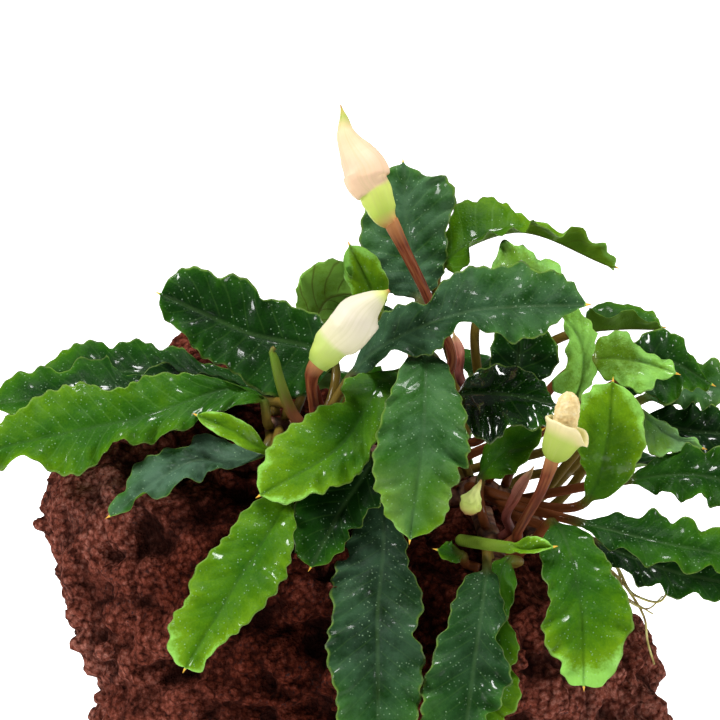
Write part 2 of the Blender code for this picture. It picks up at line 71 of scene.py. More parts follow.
def shown(name, bm, finish, node):
    """Puts a finished mesh in the scene as one piece of the plant, in place of its CAD node."""
    mesh = bpy.data.meshes.new(name)
    bm.to_mesh(mesh)
    bm.free()
    mesh.shade_smooth()
    mesh.materials.append(finish)
    piece = bpy.data.objects.new(name, mesh)
    bpy.context.scene.collection.objects.link(piece)
    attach(piece, "root")
    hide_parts(node)


def held(value):
    """The value, held between 0 and 1."""
    return min(1.0, max(0.0, value))


def drift(place):
    """Three smooth numbers that wander from place to place."""
    return Vector([noise.noise(place + shift) for shift in DRIFT_SHIFTS])


def soften(bm, times):
    for _ in range(times):
        bmesh.ops.smooth_vert(
            bm, verts=bm.verts[:], factor=0.5, use_axis_x=True, use_axis_y=True, use_axis_z=True,
        )


def stone_skin():
    """The block again, in small even faces, with its clods rounded, its creases deep, and its lumps."""
    bm = merged_copy("stone")
    mesh = bpy.data.meshes.new("stone_block")
    bm.to_mesh(mesh)
    bm.free()
    block = bpy.data.objects.new("stone_block", mesh)
    bpy.context.scene.collection.objects.link(block)
    remesh = block.modifiers.new("even faces", "REMESH")
    remesh.mode = "VOXEL"
    remesh.voxel_size = STONE_VOXEL * MM
    even = block.evaluated_get(bpy.context.evaluated_depsgraph_get()).to_mesh()
    bm = bmesh.new()
    bm.from_mesh(even)
    bpy.data.objects.remove(block)
    hollow = bm.verts.layers.float.new("hollow")
    soften(bm, CLOD_ROUNDING)
    rounded = [vert.co.copy() for vert in bm.verts]
    soften(bm, CLOD_EVENING)
    levelled = [vert.co.copy() for vert in bm.verts]
    for vert, place in zip(bm.verts, rounded):
        vert.co = place
    bm.normal_update()
    moves = []
    for vert, level in zip(bm.verts, levelled):
        place = vert.co / MM
        fade = held((place.z - PLAIN_FOOT) / FOOT_FADE)
        crease = held((level - vert.co).dot(vert.normal) / MM / CREASE_START) ** 1.5
        warp = sum((drift(place / size) * reach for size, reach in WARPS), Vector())
        nears = [noise.voronoi((place + warp) / spacing + shift)[0][0] for spacing, _, shift in LUMPS]
        height = sum(lump[1] * (0.45 - 1.6 * min(near, 0.8) ** 2) for near, lump in zip(nears, LUMPS))
        rough = noise.fractal(place / ROUGH_SIZE, 0.8, 2.0, 4) * ROUGH_HEIGHT
        # how deep a place lies in a crease or between the lumps: the finish paints shade there
        vert[hollow] = held(0.7 * crease + 1.5 * nears[0] ** 2 + 0.6 * nears[1] ** 2 - 0.25)
        moves.append(vert.normal * (height + rough - CREASE_DEPTH * crease) * fade * MM)
    for vert, move in zip(bm.verts, moves):
        vert.co += move
        vert.co.z = max(0.0, vert.co.z)
    return bm


class Value:
    """A number that changes over a surface. Maths on it adds Math nodes to its material."""

    def __init__(self, finish, socket):
        self.finish, self.socket = finish, socket

    def maths(self, operation, *terms, clamp=False):
        settings = {"operation": operation, "use_clamp": clamp}
        return self.finish.node("ShaderNodeMath", settings, dict(enumerate(terms)))

    def __add__(self, other):
        return self.maths("ADD", self, other)

    def __radd__(self, other):
        return self.maths("ADD", other, self)

    def __sub__(self, other):
        return self.maths("SUBTRACT", self, other)

    def __rsub__(self, other):
        return self.maths("SUBTRACT", other, self)

    def __mul__(self, other):
        return self.maths("MULTIPLY", self, other)

    def __rmul__(self, other):
        return self.maths("MULTIPLY", other, self)

    def __truediv__(self, other):
        return self.maths("DIVIDE", self, other)

    def __rtruediv__(self, other):
        return self.maths("DIVIDE", other, self)

    def __abs__(self):
        return self.maths("ABSOLUTE", self)

    def fraction(self):
        return self.maths("FRACT", self)

    def above(self, low, high):
        """0 up to low, 1 from high on, and even between."""
        return self.maths("DIVIDE", self - low, high - low, clamp=True)


class Finish:
    """One material. Its nodes are added by name, and its lasting values are set on the shader."""

    def __init__(self, name, **lasting):
        self.material = bpy.data.materials.new(name)
        self.material.use_nodes = True
        self.shader = self.material.node_tree.nodes["Principled BSDF"]
        for socket, value in lasting.items():
            self.shader.inputs[socket.replace("_", " ").title().replace("Ior", "IOR")].default_value = value

    def node(self, kind, settings, sockets, output=0):
        """Adds a node from its type, its settings, and the values or links of its sockets."""
        made = self.material.node_tree.nodes.new(kind)
        for name, value in settings.items():
            if name == "stops":
                while len(made.color_ramp.elements) < len(value):
                    made.color_ramp.elements.new(0.5)
                for stop, (place, colour) in zip(made.color_ramp.elements, value):
                    stop.position, stop.color = place, (*colour, 1)
            else:
                setattr(made, name, value)
        for name, value in sockets.items():
            self.feed(made.inputs[name], value)
        return Value(self, made.outputs[output])

    def feed(self, socket, value):
        if isinstance(value, Value):
            self.material.node_tree.links.new(value.socket, socket)
        elif isinstance(value, tuple) and len(value) == 3 and socket.type == "RGBA":
            socket.default_value = (*value, 1)
        else:
            socket.default_value = value

    def place(self):
        return self.node("ShaderNodeTexCoord", {}, {}, "Object")

    def noise(self, size, detail, rough=0.5):
        sockets = {"Vector": self.place(), "Scale": 1 / (size * MM), "Detail": detail, "Roughness": rough}
        return self.node("ShaderNodeTexNoise", {}, sockets)

    def cells(self, size):
        sockets = {"Vector": self.place(), "Scale": 1 / (size * MM)}
        return self.node("ShaderNodeTexVoronoi", {}, sockets, "Distance")

    def mix(self, share, first, second):
        return self.node("ShaderNodeMix", {"data_type": "RGBA"}, {0: share, 6: first, 7: second}, 2)

    def ramp(self, value, *stops):
        return self.node("ShaderNodeValToRGB", {"stops": stops}, {"Fac": value})

    def attribute(self, name, output="Fac"):
        return self.node("ShaderNodeAttribute", {"attribute_name": name}, {}, output)

    def part(self, name, axis):
        """One of the three numbers of a vector attribute."""
        return self.node("ShaderNodeSeparateXYZ", {}, {0: self.attribute(name, "Vector")}, axis)

    def parts(self, name):
        return [self.part(name, axis) for axis in "XYZ"]

    def streaks(self, fine, long):
        """Noise drawn out along a rod: fine in shares of its radius, long in millimetres."""
        cosine, sine, along = self.part("turn", "X"), self.part("turn", "Y"), self.part("rod", "Y")
        drawn = self.node("ShaderNodeCombineXYZ", {}, {0: cosine / fine, 1: sine / fine, 2: along / long})
        return self.node("ShaderNodeTexNoise", {}, {"Vector": drawn, "Scale": 1.0, "Detail": 3})

    def bump(self, height, millimetres, strength):
        sockets = {"Height": height, "Distance": millimetres * MM, "Strength": strength}
        self.feed(self.shader.inputs["Normal"], self.node("ShaderNodeBump", {}, sockets))

    def finished(self, **varying):
        for socket, value in varying.items():
            self.feed(self.shader.inputs[socket.replace("_", " ").title()], value)
        return self.material


def lava():
    """Red-brown, with cinders in it. Painted shade blackens the creases, the gaps between the lumps and the
    bubble pits, and painted light makes it paler towards both ends.
    """
    finish = Finish("lava", specular_ior_level=0.04)
    hollow = finish.attribute("hollow")
    broad = finish.noise(24, 2)
    grain = finish.noise(1.0, 8, 0.75)
    beads = finish.cells(1.3)
    fine = finish.cells(0.6)
    x = finish.node("ShaderNodeSeparateXYZ", {}, {0: finish.place()}, "X")
    # painted light: the stone is painted paler towards both ends and darker in the middle, under the leaves
    painted_lit_ends = abs(x + 0.004).above(0.016, 0.050)
    tone = 0.70 * grain + 0.34 * broad + 0.18 * painted_lit_ends - 0.12 * beads - 0.04
    colour = finish.ramp(
        tone, (0.30, (0.026, 0.004, 0.002)), (0.46, (0.105, 0.019, 0.009)),
        (0.60, (0.23, 0.060, 0.038)), (0.76, (0.47, 0.200, 0.150)),
    )
    cinders = finish.noise(0.8, 2).above(0.60, 0.68) * finish.noise(9, 2).above(0.40, 0.60)
    colour = finish.mix(cinders * 0.75, colour, (0.022, 0.021, 0.024))
    # painted shade: the creases and the gaps between the lumps are painted near black
    colour = finish.mix(hollow.above(0.15, 1.0) * 0.90, colour, (0.010, 0.0025, 0.0015))
    # painted shade: the bubble pits, which are only in the bump, are painted dark, and the tone darkens a
    # little towards them
    pit_shade = beads.above(0.42, 0.75) * 0.6 + fine.above(0.55, 0.8) * 0.3
    colour = finish.mix(pit_shade, colour, (0.010, 0.002, 0.001))
    finish.bump(grain * 0.8 - beads * 0.8 - fine * 0.4, 1.1, 1.0)
    return finish.finished(base_color=colour, roughness=0.98 - 0.2 * hollow)


shown("lava_stone", stone_skin(), lava(), "stone")


# The creeping stems
# Thick red-brown stems that creep over the stone and hold on to it, ringed where old leaves have
# dropped. Every leaf, flower and root grows out of them.
LEAN = math.radians(15)
SET_OUT_HEIGHT = 85.0      # the plant's places are set out from here, leaning back from the eye
GAP = 0.35                 # what grows out of a stem starts this far off its bark
STEM_RADIUS = 2.3
STEM_GAP = 0.5             # between a stem's bark and the stone
STEM_PLANS = {             # the stems' courses over the stone, seen from above
    "rhizome": [(-19, -5), (-10, -5), (0, -3), (10, 0), (20, 2), (31, 3), (42, 3)],
    "rhizome_front": [(24, -4.5), (26, -10), (27, -16), (26, -22)],
}
STEM_SPACING = 3           # between the places where a stem is laid on the stone
FEEL_RINGS, FEEL_STEPS = 8, 16             # the places under a stem where the stone's height is felt
SHOOT_FORK = 33, 15        # how far along the rhizome the shoot stands, and how many degrees round it
SHOOT_START, SHOOT_TIP = 4, (19, -7, -9)
TURNS = {                  # for each stem, the ways that 0 and 90 degrees round it point
    "rhizome": ((0, 1, 0), (0, 0, 1)),
    "rhizome_front": ((0, 1, 0), (1, 0, 0)),
    "shoot": ((0, 0, 1), (1, 0, 0)),
}
RING_SPACING = 2.6
RING_DEPTH = 0.16          # share of the stem's radius
RING_SHOULDER = 0.72       # where a ring starts, from the middle between two rings (0) to a ring (1)


def at(across, up, forward):
    """A place on the plant, from its set-out millimetres, in metres."""
    return MM * Vector((
        across,
        up * math.sin(LEAN) - forward * math.cos(LEAN),
        SET_OUT_HEIGHT + up * math.cos(LEAN) + forward * math.sin(LEAN),
    ))


def facing(across, up, forward):
    return (at(across, up, forward) - at(0, 0, 0)).normalized()


class Route:
    """A smooth curve through a few points, read by the distance along their chords."""

    def __init__(self, points):
        self.points = points
        self.knots = [0.0]
        for before, after in zip(points, points[1:]):
            self.knots.append(self.knots[-1] + (after - before).length)
        self.length = self.knots[-1]
        self.slopes = [self.slope(i) for i in range(len(points))]

    def slope(self, i):
        chords = [
            (self.points[j + 1] - self.points[j]) / (self.knots[j + 1] - self.knots[j])
            for j in (i - 1, i) if 0 <= j < len(self.points) - 1
        ]
        if len(chords) == 1:
            return chords[0]
        before, after = self.knots[i] - self.knots[i - 1], self.knots[i + 1] - self.knots[i]
        return (chords[0] * after + chords[1] * before) / (before + after)

    def point(self, along):
        i = max(j for j in range(len(self.knots) - 1) if self.knots[j] <= along or j == 0)
        span = self.knots[i + 1] - self.knots[i]
        t = (along - self.knots[i]) / span
        return (
            self.points[i] * (2 * t**3 - 3 * t**2 + 1) + self.slopes[i] * span * (t**3 - 2 * t**2 + t)
            + self.points[i + 1] * (3 * t**2 - 2 * t**3) + self.slopes[i + 1] * span * (t**3 - t**2)
        )

    def direction(self, along):
        step = self.length * 0.002
        return (self.point(min(self.length, along + step)) - self.point(max(0, along - step))).normalized()


def resting_height(x, y, skin):
    """The height at which the stem's middle rests on the stone over (x, y), in millimetres."""
    reach = STEM_RADIUS + STEM_GAP
    best = -math.inf
    for ring in range(FEEL_RINGS):
        away = 0.98 * reach * ring / (FEEL_RINGS - 1)
        for step in range(FEEL_STEPS):
            turn = step * math.tau / FEEL_STEPS
            above = Vector((x + away * math.cos(turn), y + away * math.sin(turn), 200.0)) * MM
            hit = skin.ray_cast(above, Vector((0, 0, -1)))[0]
            if hit:
                best = max(best, hit.z / MM + math.sqrt(reach**2 - away**2))
    return best


def growing_place(routes, stem, distance, around):
    """The place just clear of a stem's bark where something grows out of it, and the way it points."""
    route = routes[stem]
    along = MM * distance if stem == "rhizome" else route.length - MM * distance
    zero, quarter = (facing(*way) for way in TURNS[stem])
    turn = math.radians(around)
    ahead = route.direction(along)
    out = zero * math.cos(turn) + quarter * math.sin(turn)
    out = (out - ahead * out.dot(ahead)).normalized()
    return route.point(along) + out * MM * (STEM_RADIUS + GAP), out


def stem_routes():
    bare = merged_copy("stone")
    skin = BVHTree.FromBMesh(bare)
    bare.free()
    routes = {}
    for name, plan in STEM_PLANS.items():
        flat = Route([Vector((x, y, 0)) for x, y in plan])
        steps = round(flat.length / STEM_SPACING)
        places = [flat.point(flat.length * i / steps) for i in range(steps + 1)]
        routes[name] = Route([MM * Vector((p.x, p.y, resting_height(p.x, p.y, skin))) for p in places])
    fork, out = growing_place(routes, "rhizome", *SHOOT_FORK)
    routes["shoot"] = Route([fork, fork + out * SHOOT_START * MM, at(*SHOOT_TIP)])
    return routes


def read_evenly(values, share):
    """A value from a short list that is spread evenly along a piece, read smoothly."""
    place = held(share) * (len(values) - 1)
    i = min(int(place), len(values) - 2)
    t = place - i
    p0, p1, p2, p3 = (values[min(max(j, 0), len(values) - 1)] for j in range(i - 1, i + 3))
    smooth = p1 + 0.5 * t * (p2 - p0 + t * (2 * p0 - 5 * p1 + 4 * p2 - p3 + t * (3 * (p1 - p2) + p3 - p0)))
    return min(max(smooth, min(p1, p2)), max(p1, p2))


def rod(route, radius, around, spacing=0.6, start=Vector((0, 0, 1))):
    """A round piece along a route: a grid rolled up. radius(share, turn) is in millimetres, and turn
    starts on the side that start points to. Each vertex keeps its share of the length, its distance
    along it and its turn, for the finish to read."""
    rows = max(8, round(route.length / (spacing * MM)))
    bm = bmesh.new()
    rod_layer = bm.verts.layers.float_vector.new("rod")
    turn_layer = bm.verts.layers.float_vector.new("turn")
    bmesh.ops.create_grid(bm, x_segments=around, y_segments=rows, size=1)
    sides, upright = [], start
    for row in range(rows + 1):
        ahead = route.direction(route.length * row / rows)
        upright = (upright - ahead * upright.dot(ahead)).normalized()
        sides.append((route.point(route.length * row / rows), upright, ahead.cross(upright)))
    for vert in bm.verts:
        row = round((vert.co.y + 1) / 2 * rows)
        turn = vert.co.x * math.pi
        share = row / rows
        middle, first, second = sides[row]
        out = radius(share, turn)
        vert[rod_layer] = (share, route.length * share / MM, 0)
        vert[turn_layer] = (math.cos(turn), math.sin(turn), 0)
        vert.co = middle + (first * math.cos(turn) + second * math.sin(turn)) * out * MM
    bmesh.ops.remove_doubles(bm, verts=bm.verts[:], dist=0.002 * MM)
    ends = [edge for edge in bm.edges if edge.is_boundary]
    bmesh.ops.holes_fill(bm, edges=ends, sides=0)
    bmesh.ops.recalc_face_normals(bm, faces=bm.faces[:])
    return bm


def bark():
    finish = Finish("stem_bark", specular_ior_level=0.4)
    along = finish.part("rod", "Y")
    rings = abs((along / RING_SPACING).fraction() - 0.5).above(0.30, 0.5)
    mottle = finish.noise(1.6, 5, 0.6)
    colour = finish.ramp(
        mottle, (0.3, (0.035, 0.012, 0.008)), (0.5, (0.13, 0.045, 0.022)), (0.7, (0.24, 0.13, 0.05)),
    )
    colour = finish.mix(rings * 0.75, colour, (0.025, 0.010, 0.007))
    finish.bump(mottle - 0.6 * rings, 0.5, 0.7)
    return finish.finished(base_color=colour, roughness=0.5 + 0.3 * mottle)


def stem_radius(length):
    """The radius of a stem: pinched in at its rings, a little uneven, and rounded off at its ends."""
    def radius(share, turn):
        along = share * length / MM
        ring = abs((along / RING_SPACING) % 1.0 - 0.5) * 2
        pinch = RING_DEPTH * max(0.0, ring - RING_SHOULDER) / (1 - RING_SHOULDER)
        end = min(1.0, 1.6 * math.sqrt(max(0.0, min(share, 1 - share)) * length / MM / STEM_RADIUS))
        swell = 0.12 * noise.noise(Vector((along / 3, math.cos(turn), math.sin(turn))))
        return (STEM_RADIUS * (0.97 - pinch + swell)) * max(0.35, end)
    return radius


routes = stem_routes()
stem_finish = bark()
for name, route in routes.items():
    stem = rod(route, stem_radius(route.length), around=20, spacing=0.4)
    shown(name + "_bark", stem, stem_finish, name)


# The leaves
# Leathery blades on round stalks, one to each bud of the stem. They open lime green, darken from
# the middle outwards, and end up deep bluish green with a pale rim. The rim is longer than the
# blade has room for, so it stands in waves, and the midrib runs out in a small yellow point.

# What is said of each leaf
# stem, at, around: the stem, how far along it (from the tip of all but the rhizome), degrees round it
# collar, middle, tip: set-out places of the blade's midrib; width in millimetres
# face, twist: the way its upper side looks, and the degrees by which it turns from collar to tip
# waves, ruffle: how many along each margin, and how high; fold: how far the two halves are folded up
# widest, point: the share of its length where it is widest, and how sharp its tip is
# young, young_tip: how much younger it and its tip look than its finish; red: how red its veins are
# crinkle: how much deeper its quilting is; sheen: the grey sheen painted into its colour, or wet all over
# where below 0
# ribs: how far its side veins stand out in colour; petiole: the stalk's radius
Leaf = namedtuple(
    "Leaf", "name stem at around collar middle tip width face finish twist waves ruffle fold widest point"
            " young young_tip red crinkle bloom ribs petiole",
    defaults=("green", 0, 5, 1.5, 0.15, 0.5, 0.6, 0.0, 0.16, 0.6, 0.0, 0.0, 0.2, 0.95),
)
LEAVES = [
    # the big leaves that reach out to the left
    Leaf("leaf_left_low", "rhizome", 1.5, 75, (-19, -8.5, 6), (-46, -12, 13), (-76, -18.5, 14), 19.5,
         (0, 5, 8), waves=6, widest=0.62, point=0.75, young=0.14, ribs=0.5),
    Leaf("leaf_left_middle", "rhizome", 3.5, 35, (-19, -8, 0), (-47, -6, 1), (-74, -9, 2), 16, (0, 7, 6),
         "dark", waves=6, young=0.08),
    Leaf("leaf_left_back", "rhizome", 2.5, -15, (-17, -7.5, -7), (-43, -2.6, -12.5), (-66, -3, -14), 16,
         (0, 7, 6), "dark", waves=6, young=0.14),
    Leaf("leaf_left_high", "rhizome", 9, 10, (-5, -1, -1), (-23.5, 5.8, -4), (-40, 13.2, -4), 18.5,
         (1, 3, 9), "dark", ruffle=1.0, widest=0.55, young=0.04),
    Leaf("leaf_left_grey", "rhizome", 1, 110, (-19, -18, 9), (-34, -20.5, 17), (-49, -30.5, 21), 13,
         (0, 8, 6), "dark", young=0.08, bloom=0.85),
    Leaf("leaf_left_young", "rhizome", 3, 100, (-18, -18, 13), (-25, -14, 16), (-32, -11, 15), 5,
         (2, 3, 9), "lime", waves=3, ruffle=0.1, fold=0.4, young=0.1),
    # upright leaves at the back of the crown
    Leaf("leaf_back_curled", "rhizome", 12, -25, (-10.5, 4, -13), (-7, 12.4, -15.6), (2.4, 14, -12), 13,
         (-3, 6, -8), "lime", waves=4, widest=0.5, young=0.48, red=1.0, ribs=1.0),
    Leaf("leaf_back_small", "rhizome", 17, -10, (4, 9, -11), (1, 17, -10.5), (-2, 23, -10), 8, (0, 1, 9),
         waves=3, ruffle=0.3, young=0.48),
    Leaf("leaf_top", "shoot", 1, 210, (12, 12, -14), (9.6, 26, -18), (8.8, 40, -22), 19.5, (0, 2, 9),
         "dark", waves=6, widest=0.62, point=0.5, crinkle=0.3, bloom=0.6, young=0.14, ribs=0.4),
    Leaf("leaf_top_right", "shoot", 1, 150, (16.5, 19, -17), (31, 26.5, -20.5), (51.8, 19, -22), 16,
         (0, 9, 1), waves=6, twist=-110, ribs=0.7, crinkle=0.1, young=0.30),
    Leaf("leaf_right_back", "shoot", 4, 110, (24, 9, -9), (32, 17.5, -11), (42.5, 15, -9), 12, (0, 6, 7),
         waves=4, young=0.52, bloom=0.4),
    # the leaves in the middle, which hang towards the front
    Leaf("leaf_centre_wide", "rhizome", 15.5, 50, (-2, -3.5, 3.6), (18, 8.6, 13.5), (45, 11, 10), 17.5,
         (0, 6, 8), "dark", waves=6, ruffle=1.3, bloom=0.4, young=0.08),
    Leaf("leaf_centre_down", "shoot", 2, 0, (14, 1, 8), (12.4, -15, 22), (9.8, -35, 25), 18.5, (0, 2, 9),
         widest=0.55, bloom=0.4, young_tip=0.3, young=0.05),
    Leaf("leaf_centre_left", "shoot", 3, -60, (8, -2.5, 1), (-5, -18, 17), (-19.5, -26.5, 22), 16,
         (-1, 4, 9), "lime", ruffle=0.9, widest=0.55, young=-0.1, young_tip=0.25),
    Leaf("leaf_low_left", "rhizome", 7, 105, (-13.5, -25, 16.5), (-25, -45, 27), (-34, -60, 30), 15,
         (-2, 3, 9), "lime", ruffle=1.0, widest=0.55),
    Leaf("leaf_low_centre", "rhizome", 13, 110, (2, -19, 10), (-4, -30, 18), (-9.6, -40.5, 23), 13.5,
         (1, 3, 9), "dark", waves=4, ruffle=1.1, point=0.8),
    Leaf("leaf_front_long", "rhizome", 18, 120, (3, -27, 10), (3.4, -52, 25), (3.6, -80, 31), 18.5,
         (0, 3, 9), "dark", waves=6, bloom=0.35, young=0.02),
    Leaf("leaf_glossy", "shoot", 7, 60, (19, -8, 2), (29, -7, 9), (39, -9, 11), 14, (0, 6, 8), "dark",
         waves=4, young=-0.06, bloom=-1.0),
    Leaf("leaf_shade", "shoot", 8, 100, (31, -5, -6), (32, 2, -7), (32, 8, -6), 11, (0, 1, 9), "dark",
         waves=3, red=0.9),
    # the front crown
    Leaf("leaf_front_right", "rhizome_front", 1, -10, (25, -41, 18), (22.5, -58, 28), (19.5, -80, 31),
         15.5, (-1, 3, 9), waves=6, young=-0.14, bloom=0.2),
    Leaf("leaf_front_right_back", "rhizome_front", 4, 70, (29.5, -39.5, 12.5), (26.5, -57, 21.5),
         (21, -76, 24), 11, (1, 2, 9), "lime", young=-0.1),
    Leaf("leaf_right_down", "rhizome_front", 6.5, 60, (38, -32, 17), (43, -47, 28), (43.6, -63.4, 31), 17,
         (0, 3, 9), "lime", ruffle=1.2, young=-0.2, young_tip=0.62, red=0.9),
    Leaf("leaf_young_curl", "rhizome_front", 12, -50, (29.5, -36.8, 23.4), (33.6, -37.3, 25.2),
         (37.6, -36.6, 26), 4.2, (0, 5, 7), "lime", waves=3, ruffle=0.0, fold=0.9, young=0.15, red=0.0,
         petiole=1.2),
    Leaf("leaf_under", "rhizome_front", 14.5, -20, (24, -24, 2), (29, -18, 5), (36, -14, 5), 8,
         (-5, 4, 7), waves=3, ruffle=0.5, red=0.9, young=0.05),
    Leaf("leaf_hanging", "rhizome_front", 1, -75, (20, -38.5, 14), (17.8, -38, 16), (15.5, -37.5, 16), 5,
         (-2, 5, 7), waves=3, ruffle=0.4, red=0.9),
    # the right end
    Leaf("leaf_right_low", "rhizome", 52, 100, (43, -32, 12), (59, -36, 18), (78, -39.5, 17), 13,
         (0, 7, 7), young=-0.1, red=0.9),
    Leaf("leaf_right_lowest", "rhizome", 56, 110, (46, -36, 3), (60, -41.5, 6), (77, -45.5, 6), 11.5,
         (0, 6, 8), "dark", red=0.9),
    Leaf("leaf_right_middle", "rhizome", 58, 80, (53, -24, 3), (67, -23, 6), (82, -27, 4), 13, (0, 6, 8),
         "dark", young=0.28, red=0.9),
    Leaf("leaf_right_upright", "rhizome", 49, 80, (45, -28, 8), (49, -16, 13), (50, -4.5, 13), 14.5,
         (0, 1, 9), "lime", waves=4, ruffle=0.6, widest=0.55, young=0.05, red=0.9),
    Leaf("leaf_right_arching", "rhizome", 46, 40, (43, -8, 2), (44.2, 2.5, 5), (38.5, 11.5, 5), 7,
         (1, 4, 9), "lime", waves=4, ruffle=0.8, young=0.46, red=0.9),
    Leaf("leaf_right_spotted", "rhizome", 52, 50, (46.5, 0, -3), (55.5, -0.3, 2), (62.8, -2.6, 4), 12.5,
         (0, 5, 8), waves=4, ruffle=1.2, point=0.9, young=0.55, bloom=0.2, red=0.9),
    Leaf("leaf_right_dark", "rhizome", 56, 20, (53, -4, -8), (61.5, -0.4, -6), (70.4, -4.8, -4), 14,
         (1, 5, 8), "dark", ruffle=1.6, widest=0.4, point=1.0, young=0.1, red=0.9),
    Leaf("leaf_right_folded", "rhizome", 50, -10, (45, 6, -14), (53, 6.8, -15), (61, 6.6, -15), 9, (0, 9, 2),
         waves=4, fold=0.5),
    Leaf("leaf_right_far", "rhizome", 61, 30, (56, -12, -6), (67, -14.5, -5), (80, -15, -6), 12,
         (0, 6, 8), "dark", young=-0.05),
    Leaf("leaf_right_end", "rhizome", 64, 10, (57, -8, -13), (68, -5.5, -13), (80, -7.5, -13), 12.5,
         (0, 6, 8), "dark", young=0.4, bloom=0.5),
    Leaf("leaf_right_ribbed", "rhizome", 60, 60, (56, -10.5, -1), (61.5, -15, 1), (68.2, -17.5, 1), 8.5,
         (0, 6, 8), waves=4, ruffle=0.8, point=0.9, crinkle=0.25, ribs=1.0, young=0.48, bloom=0.85),
    # the leaves that hang behind
    Leaf("leaf_rear_left", "rhizome", 5, -60, (-11, -3, -15), (-22, 7, -36), (-33, -8, -57), 15,
         (0, 9, -1)),
    Leaf("leaf_rear_middle", "rhizome", 14, -60, (0, -8, -16), (-3, -3, -38), (-7, -26, -58), 15,
         (0, 9, -2)),
    Leaf("leaf_rear_high", "shoot", 3, 230, (10, 4, -20), (7, 10, -35), (1, 2, -54), 15, (0, 9, -1),
         "dark"),
    Leaf("leaf_rear_right", "shoot", 6, 150, (23, -4, -22), (28, 0, -40), (31, -12, -57), 15, (0, 9, -1)),
    Leaf("leaf_rear_low", "rhizome", 30, -60, (14, -14, -20), (16, -15, -41), (17, -42, -55), 14,
         (0, 8, -4), "dark"),
    Leaf("leaf_rear_far_right", "rhizome", 47, -60, (39, -18, -18), (46, -13, -36), (52, -25, -53), 15,
         (0, 9, -1)),
    Leaf("leaf_rear_end", "rhizome", 58, -50, (51, -22, -16), (64, -21, -27), (77, -31, -37), 14,
         (1, 8, -1), "dark"),
    # thin sheaths, folded along their middles, around the growing tips
    Leaf("sheath_upright", "shoot", 0.5, 60, (20, -3, -9), (20, 0, -9), (19, 5, -10), 2.6, (0, 0, 1),
         "sheath", waves=3, ruffle=0.0, fold=0.5),
    Leaf("sheath_front", "rhizome_front", 12, 20, (29, -31, 8), (31, -27, 11), (34, -21.8, 12), 2.6,
         (-1, 0, 2), "sheath", waves=3, ruffle=0.0, fold=0.6),
]

